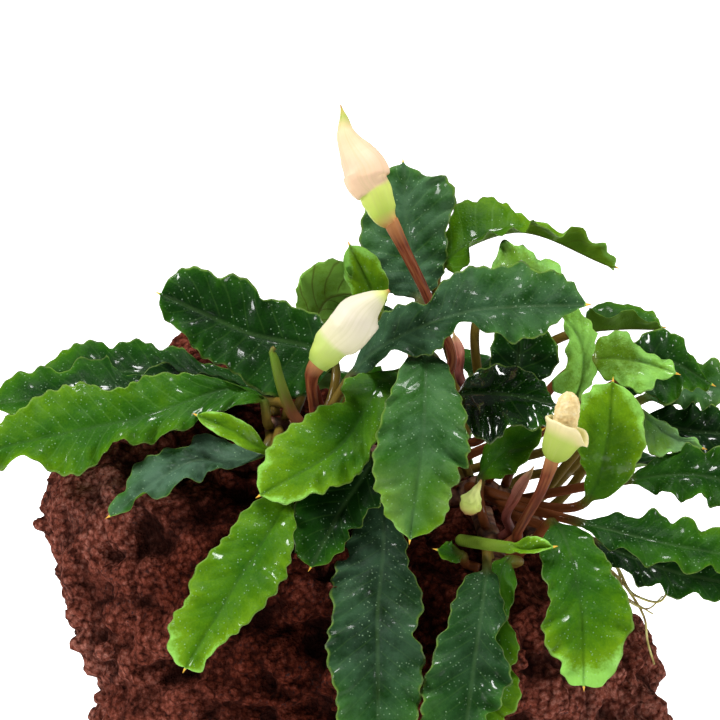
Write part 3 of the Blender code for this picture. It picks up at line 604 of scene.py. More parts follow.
# The margins that can be followed from the front
# Each is given by the places (across, up) or (across, up, forward) that it passes from the collar to the
# tip. First comes the one at the left when the tip is turned down and the upper side faces the eye.
RIMS = {
    "leaf_left_low": (
        [(-23.5, -5.5), (-32, -2.9), (-37, -2.6), (-42.8, -3.2), (-46.5, -5.2), (-50.5, -5.9), (-54, -4.5),
         (-58, -5.1), (-61, -5.9), (-64.8, -7.6), (-67.2, -9.8), (-70.3, -11.3), (-73, -14.6)],
        [(-24.7, -9.1), (-27.7, -10.4), (-31.5, -11.2), (-33.5, -13.6), (-38, -14.2), (-41, -16.5),
         (-44.5, -16.6), (-47.5, -15.7), (-50, -18), (-52.5, -21), (-57, -22.8), (-61, -22), (-65, -19.2),
         (-68, -19.2), (-70.5, -21.8), (-73.5, -20.6)],
    ),
    "leaf_left_middle": (
        [(-24, -4.8), (-29.6, -2.9), (-36.4, -2.1), (-38.6, -0.6), (-40.9, -0.8), (-43.5, -2.7), (-48, -2.5),
         (-49.9, -0.6), (-51, 0.9), (-53.2, -0.1), (-55.9, 0.7), (-57, 0.1), (-59, -2.5), (-61.1, -2.1),
         (-63.9, -1), (-66, -2.5), (-67.9, -2.3), (-72, -5.3)],
        None,
    ),
    "leaf_left_back": (
        [(-23.6, -2.9), (-30.4, -0.8), (-33, -0.1), (-35.3, 2), (-37.1, 2.8), (-41.3, 2.4), (-43.1, 3.7),
         (-46.5, 4.1), (-51.6, 2.8), (-52.9, 3.9), (-55.9, 3.7), (-59.6, 2.4), (-61.9, 0.5)],
        None,
    ),
    "leaf_left_high": (
        [(-9, 9.5), (-13, 10.6), (-15.8, 12.2), (-19.4, 12.2), (-21.6, 15.4), (-24.8, 17.2), (-28.4, 16.7),
         (-31.5, 18.5), (-36, 18.3), (-38.7, 15.9)],
        [(-12, -7.5), (-20, -6.5), (-27, -1.3), (-31.5, 0.5), (-33.8, 3.2), (-35.6, 5.5), (-38.7, 7.7),
         (-40.3, 11.5)],
    ),
    "leaf_left_grey": (
        [(-25.5, -16.4), (-29.3, -14.9), (-31.5, -14.5), (-33, -15.3), (-33.8, -16.8), (-38.3, -17.5),
         (-40.9, -18.8), (-43.9, -20.1), (-45.4, -22.4), (-46.5, -25.8), (-48, -26.9), (-49.5, -29.9)],
        [(-21.8, -20.1), (-25.1, -21.4), (-29.6, -21.8), (-31.5, -24.1), (-34.5, -23.1), (-36.4, -25),
         (-39, -27.3), (-40.9, -27.1), (-42.4, -25.9), (-43.9, -26.9), (-45.2, -29.5), (-47.6, -30.3)],
    ),
    "leaf_top": (
        [(15.5, 15), (17.2, 19), (17.8, 22), (17.6, 25.4), (18.1, 28.7), (19.3, 31), (19.4, 34),
         (18.4, 36.3), (16.9, 37.6), (13.8, 37.3), (12.6, 38.2), (10.7, 39)],
        [(8, 13), (4.5, 13.8), (1.7, 14.9), (0.2, 18.2), (0.5, 21), (0, 23.5), (0, 25.8), (0.7, 30.1),
         (1.5, 33.5), (3, 37), (6.2, 39.2)],
    ),
    "leaf_top_right": (
        [(19.5, 17.5, -15), (22.2, 20, -14.5), (22.4, 24.1, -14.5), (24.6, 24.3, -14.5), (26, 26.1, -15),
         (28.8, 25, -14.5), (30.8, 26.9, -15), (33.3, 25.7, -14.5), (35.1, 28.5, -15.5), (36.4, 27.3, -15),
         (38.6, 26.4, -15.5), (40.8, 24.8, -15.5), (43, 27.2, -16.5), (45.1, 26.7, -17), (47.5, 23.6, -17.5),
         (49.6, 24, -18.5), (50.4, 22, -19), (52.2, 20.4, -20.5)],
        [(16.5, 23, -21), (18, 27.5, -23), (19.6, 31.6, -24.5), (21.7, 32.8, -25), (23, 32.3, -25),
         (25.2, 33.2, -26), (27, 33.5, -26.5), (28.4, 32.3, -26.5), (30.2, 32.1, -27), (31, 30.4, -27),
         (33.3, 29.9, -27.5), (34.4, 28.6, -27.5), (37.8, 28.2, -27.5), (40.6, 26.2, -27), (44, 25, -26.5),
         (48, 22.5, -25.5), (51.8, 18.2, -24)],
    ),
    "leaf_right_back": (
        None,
        [(26.4, 18.4), (28, 22), (29.2, 24.8), (30.4, 23.6), (32.8, 23.2), (34.4, 22.4), (36, 20.4),
         (37.6, 20.4), (40.2, 19.6), (41, 16.4)],
    ),
    "leaf_back_curled": (
        [(-12.6, 6.5), (-12.8, 11.2), (-12.2, 16.6), (-9.6, 19), (-5.7, 20.3), (-3.8, 20.2), (-2.5, 17.6),
         (-0.3, 16.2), (1.8, 14.6)],
        None,
    ),
    "leaf_centre_wide": (
        [(2.5, -2), (5, 0.8), (7.4, 2.1), (8.9, 1.3), (11, 0.6), (13.4, 1), (15.5, 1.9), (17.3, 4.4),
         (18.8, 6.4), (20.4, 7.4), (22, 7.6), (23.6, 6), (25.6, 5.2), (27.6, 5.2), (29.6, 3.2), (32, 4),
         (36, 4.8), (37.6, 6.4), (39.6, 8)],
        [(0.2, 2.4), (2.6, 6.3), (3.6, 8.2), (5.4, 9.8), (8, 11), (10.4, 11.4), (14, 11.6), (15.2, 14.4),
         (17.6, 16.4), (19.6, 17.6), (23.2, 18.8), (25.2, 18.4), (28.8, 18.8), (33.6, 19.2), (34.4, 17.6),
         (36.8, 17.8), (40, 17.4), (41, 16), (42.4, 15.6), (43.2, 14)],
    ),
    "leaf_centre_down": (
        [(8.9, 0.1), (8, -1.4), (7.1, -3.8), (5.9, -6.5), (4.9, -8.6), (4, -12), (3.2, -14.6), (3.1, -17),
         (2.6, -18.2), (2.5, -21.5), (2.8, -23.9), (3.2, -26), (3.8, -26.3), (4.4, -28.7), (5, -30.5),
         (6.2, -31.9), (7.4, -33.2)],
        [(17, -0.5), (18.2, -2.9), (18.8, -5), (20, -7.7), (20.8, -10.1), (20.8, -12.5), (21.5, -17),
         (21.2, -19.7), (20.8, -21.4), (19.6, -21), (19.3, -23), (18.8, -24.8), (17.9, -25.1),
         (17.9, -26.9), (17.3, -28.4), (17.2, -30.2), (16.1, -31.7), (15.2, -32.9), (13.4, -33.8)],
    ),
    "leaf_centre_left": (
        [(3.8, -2.2), (0.8, -2.6), (-1.3, -3.1), (-3.1, -4.1), (-3.9, -5.6), (-3.1, -7.1), (-3.2, -8.3),
         (-5.5, -8.6), (-7.9, -9.2), (-10, -10.6), (-12.1, -12.2), (-14.3, -13.4), (-15.8, -14.5),
         (-18, -17.1), (-19.1, -19.8), (-20.1, -22), (-20.3, -24.3)],
        [(8, -9), (5.5, -14), (2.6, -16.7), (2, -18.2), (1.7, -20), (0.5, -21.5), (-0.4, -22.7),
         (-1.9, -23.9), (-3.1, -24.8), (-4, -24.5), (-5.5, -25.1), (-7, -26), (-8.8, -26.2),
         (-11.8, -27.5), (-14.2, -28.3), (-16.5, -28), (-18.8, -26.9)],
    ),
    "leaf_low_left": (
        [(-19.3, -27), (-22.9, -29.7), (-26, -34.2), (-30, -38.3), (-33.2, -42.8), (-33.7, -46.4),
         (-36.8, -50.4), (-37.5, -55.4), (-35.6, -59.5)],
        [(-13, -27.9), (-13.4, -38.3), (-15, -43.2), (-17, -45.9), (-20.2, -49.5), (-22.9, -52.2),
         (-26.9, -55.4), (-29.2, -57.6), (-31.4, -61)],
    ),
    "leaf_low_centre": (
        [(-3, -19.5), (-9, -23), (-12.8, -28.5), (-13.2, -34.8), (-12, -38.9)],
        [(5, -23), (3.6, -29), (1.1, -29.9), (0.7, -32.6), (-2.1, -33.5), (-2.5, -36.2), (-4.3, -38),
         (-6.5, -40)],
    ),
    "leaf_front_long": (
        [(-4.4, -39.6), (-5.8, -45), (-5.3, -49.5), (-6.4, -54), (-6.2, -60.3), (-4.9, -63.9), (-4.2, -72),
         (-1.5, -77.5)],
        [(9.1, -35.6), (9.6, -40.5), (11.8, -44.6), (12.3, -49.5), (10.5, -53.1), (12.7, -57.6),
         (12.3, -60.8), (11.5, -68), (10.2, -74), (7.5, -78.5)],
    ),
    "leaf_front_right": (
        [(20.4, -43), (19.1, -45.6), (17.5, -49.2), (17.3, -51.9), (15.5, -53.7), (14.6, -56.4),
         (13.7, -60), (12.8, -61.4), (11.9, -69), (11.2, -73), (13.5, -77.5)],
        [(27.2, -42.4), (27.4, -44.7), (28.5, -49.2), (28.2, -52), (26.5, -53.5), (27.7, -56.4),
         (28.6, -58.2), (29.2, -63.6), (27.7, -64.5), (27.4, -65.9), (28.1, -67.2), (24.9, -69),
         (24.2, -73), (22.5, -77.5)],
    ),
    "leaf_front_right_back": (
        None,
        [(30.8, -43), (30, -48), (29, -51.9), (30.4, -53.3), (31, -55.5), (31.3, -57.8), (29.8, -60),
         (31.3, -63.2), (31.5, -65.4), (30.4, -69), (28.3, -69.9), (28.4, -72), (25, -75.5)],
    ),
    "leaf_glossy": (
        [(20.7, -12.4), (22.9, -15), (25.4, -16.5), (27.6, -15.4), (29.7, -12.8), (33.1, -13.7),
         (36.6, -13.3)],
        [(21.6, -3.4), (26.3, -1.1), (31.8, -1.5), (37, -5.1), (38.3, -8.1)],
    ),
    "leaf_shade": (
        [(34.5, -5), (38.2, -3), (40, 0), (39.6, 3), (37.5, 6)],
        [(28, -5), (26.4, -2), (26.2, 1.5), (27, 5), (29.5, 8)],
    ),
    "leaf_under": (
        [(26, -23.8), (29.5, -23), (32.6, -20.5), (34.9, -17.4), (36.2, -15.2)],
        [(23.9, -21.4), (24.6, -18), (27.6, -14.6), (30.6, -12.8), (36.1, -13.3)],
    ),
    "leaf_right_down": (
        [(36, -34.8), (35.5, -40.7), (36.7, -45.2), (37.1, -47), (36.4, -49.2), (35.5, -51.5), (36, -54.6),
         (36.9, -57.3), (38.7, -58.2), (39.1, -59.6), (39.4, -61.4), (40.9, -63.2)],
        [(44.3, -33.5), (47, -37.1), (48.8, -39.3), (49.5, -42), (51.1, -43.8), (52.9, -48.3),
         (53.3, -51), (53.1, -53.3), (51.5, -54.2), (51.5, -56.4), (50.6, -58.2), (50.4, -60),
         (48.8, -61.8), (46.6, -63.8)],
    ),
    "leaf_right_upright": (
        None,
        [(44.4, -26), (44.7, -23.1), (43, -18), (42.8, -13), (43.6, -8), (46.5, -5)],
    ),
    "leaf_right_arching": (
        [(45.9, -5.3), (47.2, -2.5), (46.4, 0.3), (46.8, 2.5), (47, 5.8), (46.2, 7.1), (45.1, 8.5),
         (44, 9.6), (43, 10.7), (41.8, 11.3), (39.8, 11)],
        [(40.4, -6.9), (38, -5.4), (38.8, -3.6), (41.2, -1.1), (40.8, 1.6), (41.5, 4.1), (40.4, 6.9),
         (40.7, 8.2), (38.4, 9.9)],
    ),
    "leaf_right_spotted": (
        [(48.4, -3.4), (50.5, -4.3), (53, -5.5), (56.3, -6.6), (58.4, -5.6), (59, -3.9), (61.3, -3.9)],
        [(47.2, 3), (48, 4.3), (50, 5.3), (52.2, 6), (53.8, 5.6), (54.5, 4), (55.9, 2.6), (57.2, 1.6),
         (59.3, 0.9), (60.8, 0), (62.2, 0.1)],
    ),
    "leaf_right_dark": (
        [(54, -7), (57.2, -6.6), (59.5, -8), (60.8, -9), (62.7, -8.7), (63.6, -7.8), (64.2, -6.6),
         (65.6, -5.8), (66.6, -6.4), (67.6, -5.6), (68.6, -5.9), (69.5, -6.4)],
        [(55, 3.5), (57.7, 5.4), (58.8, 6.2), (60.4, 6.1), (62.1, 6.3), (62.9, 5.2), (65.2, 4.8),
         (65.5, 2.7), (66.5, 1.1), (67.9, -0.5), (68.6, -2.3)],
    ),
    "leaf_right_folded": (
        [(46.8, 10.4, -12), (48.4, 9.1, -11), (50.4, 8.6, -10.5), (51.8, 8.9, -10.5), (52.7, 10.1, -10.5),
         (53.8, 10, -10.5), (55.4, 10.1, -11), (56.3, 8.9, -11.5), (58.1, 7.7, -12), (59.7, 7.9, -13)],
        [(46.9, 10.6, -18), (48.2, 11.1, -19), (50.2, 12, -19.5), (51.6, 11.5, -19.5), (52.4, 11.7, -19.5),
         (53.6, 11.2, -19.5), (55.6, 11.3, -19), (57.9, 10.1, -18.5), (59.3, 10, -17.5), (60.4, 8.6, -16)],
    ),
    "leaf_right_ribbed": (
        [(56.4, -13.2), (56.8, -15.7), (57.4, -17.7), (58.1, -19.1), (59.7, -19.3), (61.5, -18.6),
         (64.2, -18.2), (66.5, -18.4)],
        [(57.4, -10.6), (59.5, -11.8), (61.5, -12.3), (62.2, -13.4), (63.6, -13.9), (63.9, -15.2),
         (65.2, -15.6), (67, -15.3)],
    ),
}
YOUTH = {"dark": 0.0, "green": 0.28, "lime": 0.56, "sheath": 0.2}
MARGIN_YOUTH, PAINTED_CREST_LIGHT, PATCH_YOUTH = 0.42, 0.05, 0.18  # how much younger the margins and patches look, and how much paler the crests of the waves are painted, as painted light
BLADE_COLUMNS = 28
BLADE_ROW = 0.6
BLADE_THICKNESS = 0.42
MARGIN_THINNING = 0.55     # share of the thickness that is gone at the margin
STALK_MEASURE = 0.8        # the round stalk turns flat from where half the width is half of this
STRAIGHT_START = 2.5       # stalks leave their stem square to its bark for this far
VEIN_SPACING = 3.1
VEIN_LEAN = 1.5            # how many spacings a vein runs on towards the tip on its way to the margin
QUILT_HEIGHT = 0.26        # of the blade between two veins
SWELL_HEIGHT = 0.8         # of the slow rises and hollows of a blade
GROOVE_DEPTH, GROOVE_HALF = 0.22, 1.3      # over the midrib, on the upper side
RIB_HEIGHT, RIB_HALF = 0.45, 1.1           # of the midrib, on the back
SCALLOP_LENGTH, SCALLOP_DEPTH = 3.4, 0.30
RIM_STEPS = -0.09, -0.045, 0, 0.045, 0.09  # shares of a margin over which its course is evened out
LEAST_HALF = 0.3           # where the blade is narrower than this to one side, its margin has no bulge
LEAST_FACING = 0.35        # a blade seen more edge-on than this is set out as if it were no more so
RUFFLE_BACK, BULGE_BACK, NICK_BACK = 0.55, 2.2, 0.9  # how far these bend a margin back
POINT_LENGTH, POINT_RADIUS = 1.3, 0.30
POINT_STEPS = 0.35, 0.7, 1.0
POINT_MARK = 3.0           # the youth that marks the yellow point
Row = namedtuple("Row", "centre heading normal share")


def set_out(place):
    """The set-out millimetres of a place on the plant: across, up and forward."""
    x, y, z = place / MM
    z -= SET_OUT_HEIGHT
    return Vector((x, y * math.sin(LEAN) + z * math.cos(LEAN), z * math.sin(LEAN) - y * math.cos(LEAN)))


def grown(stem, distance, around, places, straight=STRAIGHT_START):
    """A route that leaves a stem square to its bark, runs straight, and then bends through the places."""
    base, out = growing_place(routes, stem, distance, around)
    return Route([base, base + out * straight * MM] + [at(*place) for place in places])


def blade_half(share, leaf):
    """Half the blade's width, as a share of its greatest, from its collar (0) to its tip (1)."""
    if share < leaf.widest:
        return math.sin(math.pi / 2 * max(0.0, share) / leaf.widest) ** 0.85
    past = min(1.0, (share - leaf.widest) / (1 - leaf.widest))
    return (1 - past**2.4) ** leaf.point


def growth(share):
    """How far waves and quilting have grown: not at the collar and the tip, and fully in between."""
    return min(1.0, 3 * max(0.0, share), 4 * max(0.0, 1 - share))


def leaf_rows(leaf):
    """The leaf's middle line in rows, from the stem to the yellow point. A row's share is 0 at the
    blade's collar and 1 at its tip. The blade's length comes with them."""
    route = grown(leaf.stem, leaf.at, leaf.around, [leaf.collar, leaf.middle, leaf.tip])
    collar, middle, end = route.knots[2:]
    stalk_rows = max(6, round(collar / (1.5 * BLADE_ROW * MM)))
    blade_rows = max(16, round((end - collar) / (BLADE_ROW * MM)))
    places = [collar * i / stalk_rows for i in range(stalk_rows)]
    places += [collar + (end - collar) * i / blade_rows for i in range(blade_rows + 1)]
    headings = [route.direction(place) for place in places]
    start = min(range(len(places)), key=lambda i: abs(places[i] - middle))
    normals = [facing(*leaf.face)] * len(places)
    for i in list(range(start, len(places))) + list(range(start - 1, -1, -1)):
        nearest = normals[i] if i == start else normals[i - 1 if i > start else i + 1]
        normals[i] = (nearest - headings[i] * nearest.dot(headings[i])).normalized()
    rows = []
    for place, heading, normal in zip(places, headings, normals):
        share = (place - collar) / (end - collar)
        turn = math.radians(leaf.twist) * max(-0.5, share - 0.5)
        rows.append(Row(route.point(place), heading, Matrix.Rotation(turn, 3, heading) @ normal, share))
    tip, heading, normal, _ = rows[-1]
    for step in POINT_STEPS:
        rows.append(Row(tip + heading * step * POINT_LENGTH * MM, heading, normal, 1 + step))
    return rows, (end - collar) / MM


def even_rim(leaf, row, side, wander):
    """A margin that follows the leaf's own form: where it would lie flat, and where its waves take it."""
    centre, heading, normal, share = row
    across = heading.cross(normal) * side
    half = leaf.width / 2 * blade_half(min(share, 1.0), leaf)
    phase = math.tau * leaf.waves * share
    stray = noise.noise(wander + Vector((share * 2.2, side, 0))) * 2.0
    wave = -math.cos(phase + stray) + 0.3 * math.cos(2.3 * phase + 3 * stray)
    strength = (1 if side > 0 else -0.8) * (1 + 0.6 * noise.noise(wander + Vector((share * 3, side, 5))))
    grow = growth(share)
    scallop = grow * half * (0.05 * math.sin(phase + stray + 1.0) + 0.02 * math.sin(2.7 * phase + side))
    flat = centre + MM * (across * half + normal * half * leaf.fold)
    return flat, flat + MM * grow * (normal * strength * wave * leaf.ruffle + across * scallop), wave * grow


def crenation(along, side, wander):
    """The small scallops of a margin, in millimetres."""
    sway = 2.5 * noise.noise(wander + Vector((along / 7, side, 2)))
    depth = SCALLOP_DEPTH * (1 + noise.noise(wander + Vector((along / 5, side, 9))))
    return depth * math.sin(math.tau * along / SCALLOP_LENGTH + sway)


def eased(share):
    """Nothing at the two ends of a margin, and 1 along nearly all of it."""
    return min(1.0, 8 * share, 8 * (1 - share))


def rim_line(points, collar, tip):
    """The course of a margin through its places, in set-out millimetres. Where the places have no depth
    of their own, it lies at depth 0."""
    places = [set_out(collar), *(Vector((*point, 0)[:3]) for point in points), set_out(tip)]
    if len(points[0]) == 2:
        for place in places:
            place.z = 0
    return Route(places)


def deep_rim(line, row, side, wander):
    """A margin whose places give its depth too: it runs through them, with its scallops."""
    place = line.point(line.length * row.share)
    away = (place - set_out(row.centre)).normalized() if row.share < 1 else Vector()
    nick = crenation(line.length * row.share, side, wander) * eased(row.share)
    return at(*place), at(*(place + away * nick)), 0.0


def seen_rim(leaf, line, row, side, wander):
    """A margin that runs through places as the eye sees them. Its depth is that of the blade, and where
    it bulges it bends back."""
    middle, face = set_out(row.centre), set_out(row.normal * MM + at(0, 0, 0))
    share, ease = row.share, eased(row.share)
    spots = [line.point(line.length * held(share + step)) for step in RIM_STEPS]
    mean = (spots[0] + 2 * spots[1] + 2 * spots[2] + 2 * spots[3] + spots[4]) / 8
    mean = spots[2] + (mean - spots[2]) * ease
    away = mean - Vector((*middle[:2], 0))
    half = away.length
    outward = away.normalized() if half > LEAST_HALF else away
    slope = math.copysign(max(LEAST_FACING, abs(face.z)), face.z)
    forward = middle.z - (face.x * away.x + face.y * away.y) / slope
    bulge = (spots[2] - mean).dot(outward) if half > LEAST_HALF else 0.0
    sway = 3 * noise.noise(wander + Vector((share * 4, side, 0)))
    wave = math.cos(math.tau * leaf.waves * 1.3 * share + sway)
    nick = crenation(line.length * share, side, wander) * ease * min(1.0, half / 4)
    back = RUFFLE_BACK * leaf.ruffle * ease * wave - BULGE_BACK * bulge - NICK_BACK * nick
    flat = at(mean.x, mean.y, forward + half * leaf.fold)
    out = spots[2] + outward * nick
    return flat, at(out.x, out.y, forward + half * leaf.fold + back), -bulge - 0.6 * nick


def leaf_rims(leaf, rows, wander):
    """For each row and side: where the margin would lie flat, where it is, and how it waves."""
    first = next(row for row in rows if row.share >= 0)
    last = rows[-1 - len(POINT_STEPS)]
    rims = {}
    for side, points in zip((1, -1), RIMS.get(leaf.name, (None, None))):
        line = rim_line(points, first.centre, last.centre) if points else None
        for number, row in enumerate(rows):
            if line is None or not 0 < row.share <= 1:
                rims[number, side] = even_rim(leaf, row, side, wander)
            elif len(points[0]) == 3:
                rims[number, side] = deep_rim(line, row, side, wander)
            else:
                rims[number, side] = seen_rim(leaf, line, row, side, wander)
    return rims


def relief(leaf, along, aside, half, share, wander):
    """How far a place on the blade stands up from a flat sheet, in millimetres: quilted between its
    veins, in slow swells, and grooved along the midrib."""
    edge = abs(aside)
    vein = abs(((along / VEIN_SPACING - edge * VEIN_LEAN) % 1.0) - 0.5) * 2
    inner = math.sin(math.pi * min(1.0, edge * 1.15)) ** 0.7
    quilt = (QUILT_HEIGHT + leaf.crinkle) * growth(share) * (1 - vein**2) * inner
    swell = noise.noise(wander + Vector((along / 4.5, aside * half / 3.5, 7)))
    quilt += SWELL_HEIGHT * growth(share) * inner * swell
    return quilt - GROOVE_DEPTH * max(0.0, 1 - edge * half / GROOVE_HALF) ** 2


def youth(leaf, row, edge, wave, wander):
    """How young a place looks, from dark green (0) to lime (1): youngest at the margins and the tip. The
    crests of the margin's waves are painted a little paler, as painted light.
    """
    young = YOUTH[leaf.finish] + leaf.young + MARGIN_YOUTH * edge**2 * max(0.1, row.share)
    # painted light: the crests of the margin's waves are painted paler
    young += leaf.young_tip * max(0.0, row.share - 0.45) / 0.55 + PAINTED_CREST_LIGHT * wave * edge**2
    young += PATCH_YOUTH * noise.noise(wander + row.centre / MM / 11)
    return held(young) if row.share <= 1 else POINT_MARK


def leaf_mesh(leaf, number):
    """A stalk that flattens into a ruffled blade: one grid, given a back, and laid along its rows."""
    wander = Vector((number * 3.7, number * 1.3, 0.5))
    rows, length = leaf_rows(leaf)
    rims = leaf_rims(leaf, rows, wander)
    bm = bmesh.new()
    blade = bm.verts.layers.float_vector.new("blade")
    tone = bm.verts.layers.float_vector.new("tone")
    look = bm.verts.layers.float_vector.new("look")
    bmesh.ops.create_grid(bm, x_segments=BLADE_COLUMNS, y_segments=len(rows) - 1, size=1)
    back = bmesh.ops.extrude_face_region(bm, geom=bm.faces[:])["geom"]
    back = {vert for vert in back if isinstance(vert, bmesh.types.BMVert)}
    for vert in bm.verts:
        along_rows = round((vert.co.y + 1) / 2 * (len(rows) - 1))
        row = rows[along_rows]
        centre, heading, normal, share = row
        aside, under = vert.co.x, vert in back
        edge, sign = abs(aside), -1 if under else 1
        flat_rim, rim, wave = rims[along_rows, 1 if aside > 0 else -1]
        half = (flat_rim - centre).length / MM
        round_off = math.sqrt(max(0.0, 1 - edge**2))
        along = share * length
        rise = relief(leaf, along, aside, half, share, wander)
        thick = BLADE_THICKNESS * (1 - MARGIN_THINNING * edge) * round_off**0.3
        rib = RIB_HEIGHT * max(0.0, 1 - (edge * half / RIB_HALF) ** 2) * (1 - 0.6 * max(0.0, share))
        sheet = centre + (flat_rim - centre) * edge + (rim - flat_rim) * edge**2
        sheet += normal * (rise + sign * thick / 2 - (rib if under else 0.0)) * MM
        flatness = held((half / STALK_MEASURE - 0.5) / 2.2) if share < 0.5 else share < 0.999
        girth = leaf.petiole if share < 0.5 else POINT_RADIUS * (2 - share)
        stalk = centre + MM * girth * (heading.cross(normal) * aside + normal * round_off * sign)
        vert.co = stalk + (sheet - stalk) * flatness
        vert[blade] = (aside, along, aside * half)
        vert[tone] = (youth(leaf, row, edge, wave, wander), float(under), leaf.red)
        vert[look] = (leaf.bloom, leaf.ribs, held(share))
    bmesh.ops.remove_doubles(bm, verts=bm.verts[:], dist=0.004 * MM)
    bmesh.ops.recalc_face_normals(bm, faces=bm.faces[:])
    if bm.calc_volume(signed=True) < 0:
        bmesh.ops.reverse_faces(bm, faces=bm.faces[:])
    return bm


def leaf_skin(name, wetness):
    """Green tissue: darker with age, with a paler back, a painted grey sheen on some blades, fine pale
    flecks (partly its own dots, partly painted glints of droplets), and a wet film in places. A sheen below
    0 is a leaf that is wet all over."""
    finish = Finish(name, ior=1.42, specular_ior_level=0.07, coat_roughness=0.05, coat_ior=1.40)
    across, along, aside = finish.parts("blade")
    young, under, red = finish.parts("tone")
    bloom, ribs = finish.part("look", "X"), finish.part("look", "Y")
    top = 1 - under
    edge = abs(across)
    mottle = finish.noise(5.5, 4, 0.6)
    grain = finish.noise(0.55, 3, 0.6)
    colour = finish.ramp(
        young + 0.50 * (mottle - 0.5) + 0.20 * (grain - 0.5),
        (0.0, (0.002, 0.014, 0.0015)), (0.22, (0.006, 0.038, 0.002)), (0.45, (0.021, 0.090, 0.003)),
        (0.65, (0.054, 0.150, 0.002)), (0.85, (0.115, 0.240, 0.004)), (1.0, (0.23, 0.50, 0.08)),
    )
    skew = along / VEIN_SPACING - edge * VEIN_LEAN
    veins = (abs(skew.fraction() - 0.5) * 2).above(0.82, 1.0) * edge.above(0.03, 0.15) * ribs
    midrib = 1 - abs(aside).above(0.12, 0.6)
    colour = finish.mix(veins * 0.5 * top, colour, (0.10, 0.22, 0.04))
    rib_colour = finish.mix(young.above(0.2, 0.6), (0.060, 0.120, 0.035), (0.010, 0.040, 0.004))
    colour = finish.mix(midrib * 0.28 * top, colour, rib_colour)
    # painted sheen: a pale grey-green reflection painted on the upper side of blades whose sheen is above 0
    painted_sheen = bloom.above(0.0, 1.0)
    colour = finish.mix(painted_sheen * mottle.above(0.30, 0.62) * top * 0.75, colour, (0.080, 0.150, 0.100))
    rim = edge.above(0.95, 0.995) * along.above(1.0, 4.0)
    colour = finish.mix(rim * 0.5, colour, (0.26, 0.36, 0.11))
    backed = finish.mix(0.45, colour, (0.14, 0.27, 0.02))
    backed = finish.mix(red * (veins + midrib) * 0.6, backed, (0.07, 0.022, 0.008))
    colour = finish.mix(under, colour, backed)
    # pale flecks: partly the leaf's own pale dots, partly painted glints of water droplets
    flecks_and_glints = (1 - finish.cells(0.85).above(0.07, 0.22)) * finish.noise(3, 3).above(0.38, 0.60) * top
    colour = finish.mix(flecks_and_glints * 0.55, colour, (0.30, 0.47, 0.27))
    stalk = finish.mix(red, (0.10, 0.16, 0.015), (0.13, 0.022, 0.010))
    colour = finish.mix(1 - along.above(-3.0, 2.5), colour, stalk)
    is_point = young.maths("GREATER_THAN", young, POINT_MARK - 1)
    colour = finish.mix(is_point, colour, (0.75, 0.42, 0.06))
    finish.bump(grain * 0.8 + finish.cells(0.45) * 0.4 + flecks_and_glints * 0.5, 0.16, 0.7)
    wet = (0 - bloom).above(0.0, 1.0)
    film = finish.noise(4, 3).above(0.60 - 0.10 * wetness, 0.66) * top
    rough = 0.42 - 0.12 * film + 0.14 * under + 0.10 * grain - 0.2 * wet
    film = film * (0.4 + 0.5 * wetness) * (1 - painted_sheen) + wet * top
    return finish.finished(base_color=colour, roughness=rough, coat_weight=film.above(0.0, 1.0))


def sheath_skin():
    """Papery tissue: dark red-brown at the foot, pinker and drier towards the point, with fine nerves."""
    finish = Finish("sheath", specular_ior_level=0.3)
    across, share = finish.part("blade", "X"), finish.part("look", "Z")
    nerves = (abs((across * 5).fraction() - 0.5) * 2).above(0.7, 1.0)
    colour = finish.ramp(
        share + 0.3 * (finish.noise(1.5, 3) - 0.5), (0.0, (0.10, 0.018, 0.012)), (0.4, (0.26, 0.06, 0.035)),
        (0.75, (0.48, 0.20, 0.13)), (1.0, (0.55, 0.36, 0.16)),
    )
    colour = finish.mix(nerves * 0.5, colour, (0.13, 0.03, 0.02))
    finish.bump(nerves, 0.1, 0.6)
    return finish.finished(base_color=colour, roughness=0.5 + 0.1 * nerves)


skins = {
    "dark": leaf_skin("leaf_dark", 0.8),
    "green": leaf_skin("leaf_green", 0.6),
    "lime": leaf_skin("leaf_lime", 0.4),
    "sheath": sheath_skin(),
}
for number, leaf in enumerate(LEAVES):
    slot = "sheath" if leaf.finish == "sheath" else "leaf_" + leaf.finish
    shown(leaf.name + "_blade", leaf_mesh(leaf, number), skins[leaf.finish], leaf.name)


# The flower stalks
# Round, solid and red-brown, each grown out of a stem and widening a little under its flower. Each
# ends inside the foot of its flower.
STALKS = [                 # name, stem, distance along it, degrees round it, places, radii from the foot up
    ("flower_tall_stalk", "shoot", 1.0, -60, [(18, -2, -6), (14.2, 11, -4), (9, 22, -4), (6.1, 27.9, -4)],
     [1.1, 1.0, 0.95, 1.0, 1.05, 1.2, 1.6]),
    ("flower_low_stalk", "rhizome", 10, 62,
     [(-9.2, -9, 7), (-9.6, -4.5, 11), (-9.4, -2.6, 12.6), (-8.1, -0.4, 13.7)], [1.2, 1.1, 1.05, 1.2, 1.9]),
    ("flower_open_stalk", "rhizome_front", 9.5, 35, [(31.4, -33.6, 12), (36, -25, 17), (38.1, -19.1, 18)],
     [1.2, 1.05, 1.0, 1.1, 1.5]),
]


def stalk_skin():
    finish = Finish("flower_stalk", specular_ior_level=0.12)
    share = finish.part("rod", "X")
    streaks = finish.streaks(0.5, 6)
    colour = finish.ramp(
        streaks, (0.30, (0.060, 0.012, 0.005)), (0.50, (0.145, 0.034, 0.012)), (0.72, (0.24, 0.090, 0.030)),
    )
    colour = finish.mix(share.above(0.86, 1.0) * 0.7, colour, (0.48, 0.22, 0.08))
    finish.bump(streaks, 0.12, 0.3)
    return finish.finished(base_color=colour, roughness=0.38 + 0.2 * streaks)


stalk_finish = stalk_skin()
for name, stem, distance, around, places, radii in STALKS:
    stalk = rod(
        grown(stem, distance, around, places), lambda share, turn: read_evenly(radii, share), around=20,
        start=facing(0, 0, 1),
    )
    shown(name + "_rod", stalk, stalk_finish, name)


